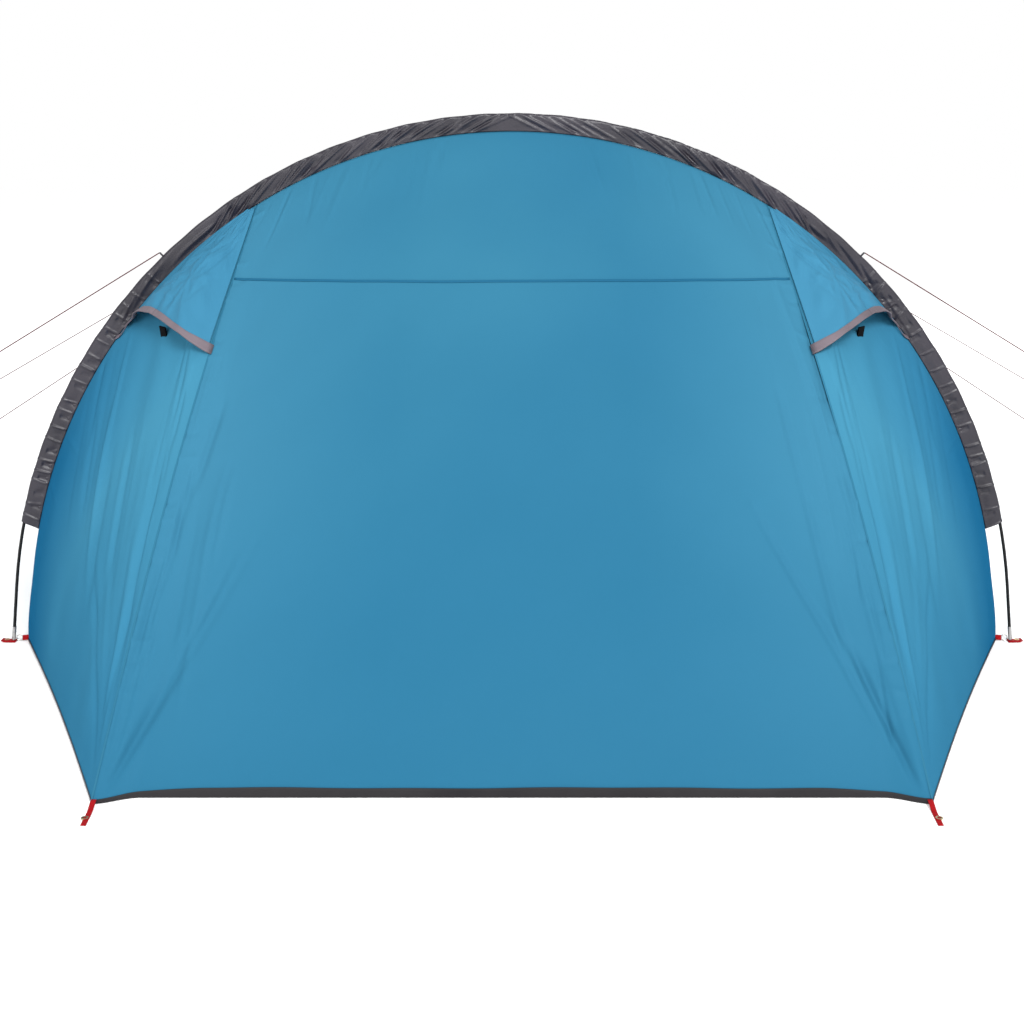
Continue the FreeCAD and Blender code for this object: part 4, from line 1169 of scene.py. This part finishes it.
# ---- Guy lines ----
# The same routes as the part's, with one point more on each long run beside the peg loop.
GUY_ROUTES = {
    "rear": [(0.9541, -1.3035, 1.0509), (2.6272, -1.3135, 0.0135), (2.6442, -1.3135, 0.003),
             (2.6442, -1.2935, 0.003), (2.6272, -1.2934, 0.0135), (2.0068, -1.2897, 0.3982)],
    "middle": [(0.9541, 0.3265, 1.0509), (2.7280, 0.3165, 0.0131), (2.7453, 0.3165, 0.003),
               (2.7453, 0.3365, 0.003), (2.7280, 0.3366, 0.0131), (2.0980, 0.3401, 0.3817)],
    "front": [(0.9541, 1.7365, 1.0509), (2.5251, 1.7265, 0.0140), (2.5418, 1.7265, 0.003),
              (2.5418, 1.7465, 0.003), (2.5251, 1.7466, 0.0140), (1.9158, 1.7504, 0.4161)],
}
CORD_RADIUS = 0.0015


def cord_curve(name, points, resolution=12):
    """A smooth round cord through the neighbourhood of its points, from the first to the last."""
    curve = bpy.data.curves.new(name, "CURVE")
    curve.dimensions = "3D"
    curve.bevel_depth = CORD_RADIUS
    curve.bevel_resolution = 3
    curve.resolution_u = resolution
    curve.use_fill_caps = True
    spline = curve.splines.new("NURBS")
    spline.points.add(len(points) - 1)
    for point, place in zip(spline.points, points):
        point.co = (*place, 1.0)
    spline.order_u = 3
    spline.use_endpoint_u = True
    curve.materials.append(CORD)
    cord = bpy.data.objects.new(name, curve)
    bpy.context.scene.collection.objects.link(cord)
    return cord


def guy_line(name, side):
    sign = SIDES[side]
    route = [(x * sign, y, z) for x, y, z in GUY_ROUTES[name]]
    cord = cord_curve("guy_cord_" + name + "_" + side, route, 24)
    belongs(cord, "tent", "guy_cord", "guy_line_" + name + "_" + side)
    last, before = Vector(route[-1]), Vector(route[-2])
    knot = stopper_knot("guy_knot_" + name + "_" + side, last, last - before)


def stopper_knot(name, place, way):
    """A small looped knot at the end of the returning strand."""
    way = way.normalized()
    aside = way.cross(Vector(UP)).normalized()
    up = aside.cross(way)
    turns = ((0.0, 0.0, 0.0), (0.004, 0.003, 0.002), (0.007, 0.0, 0.0035), (0.003, -0.0035, 0.001),
             (-0.001, 0.0, -0.0035), (0.003, 0.0035, -0.001), (0.008, 0.001, -0.002),
             (0.014, 0.0, 0.0), (0.022, 0.001, 0.001))
    points = [place + way * a + aside * b + up * c for a, b, c in turns]
    return belongs(cord_curve(name, points), "tent", "guy_cord")


# ---- Stage ----

WHITE = (1.0, 1.0, 1.0, 1.0)


def lamp(name, place, aim, size, power):
    """A soft box of light at a place, turned towards what it lights."""
    light = bpy.data.lights.new(name, "AREA")
    light.shape = "RECTANGLE"
    light.size, light.size_y = size
    light.energy = power
    lamp_object = bpy.data.objects.new(name, light)
    lamp_object.location = place
    lamp_object.rotation_euler = (Vector(aim) - Vector(place)).to_track_quat("-Z", "Y").to_euler()
    bpy.context.scene.collection.objects.link(lamp_object)


def stage():
    """A white world and a white floor just below the tent, with three lamps."""
    world = bpy.data.worlds.new("studio")
    bpy.context.scene.world = world
    world.use_nodes = True
    sky = world.node_tree.nodes["Background"]
    sky.inputs["Color"].default_value = WHITE
    sky.inputs["Strength"].default_value = 1.0

    bpy.ops.mesh.primitive_plane_add(size=120.0, location=(0.0, 0.0, -0.0006))
    floor = bpy.context.object
    floor.name = "studio_floor"
    floor.data.materials.append(Paint("studio_floor_paint", WHITE, 0.9, specular=0.0).material)
    lamp("key", (1.7, -8.2, 5.2), (0.0, -1.6, 0.6), (3.0, 2.2), 640.0)
    lamp("fill", (-3.2, -7.8, 3.0), (0.0, -1.0, 0.6), (3.0, 2.0), 150.0)
    lamp("back", (2.0, 7.0, 5.0), (0.0, 0.5, 0.6), (5.0, 3.5), 300.0)


CAMERA_BACK = 4.0             # from the rear hoop to the lens
CAMERA_HEIGHT = 1.30


def camera():
    """A level camera straight behind the tent, its picture shifted down to frame the rear wall."""
    data = bpy.data.cameras.new("view")
    data.sensor_width = 36.0
    data.lens = 51.97
    data.shift_y = -0.343
    eye = bpy.data.objects.new("view", data)
    eye.location = (0.0, REAR_HOOP_Y - CAMERA_BACK, CAMERA_HEIGHT)
    eye.rotation_euler = (math.radians(90.0), 0.0, 0.0)
    bpy.context.scene.collection.objects.link(eye)
    bpy.context.scene.camera = eye
    bpy.context.scene.view_settings.view_transform = "Standard"


camera()
stage()
for hoop_name in HOOPS:
    for hoop_side in SIDES:
        guy_line(hoop_name, hoop_side)
rear_wall()
rear_foot()
vents()
tunnel()
front_wall()
sleeping_room()
for hoop_name, hoop_y in zip(HOOPS, HOOP_YS):
    sleeve(hoop_name, hoop_y)
straps()

bpy.context.view_layer.update()
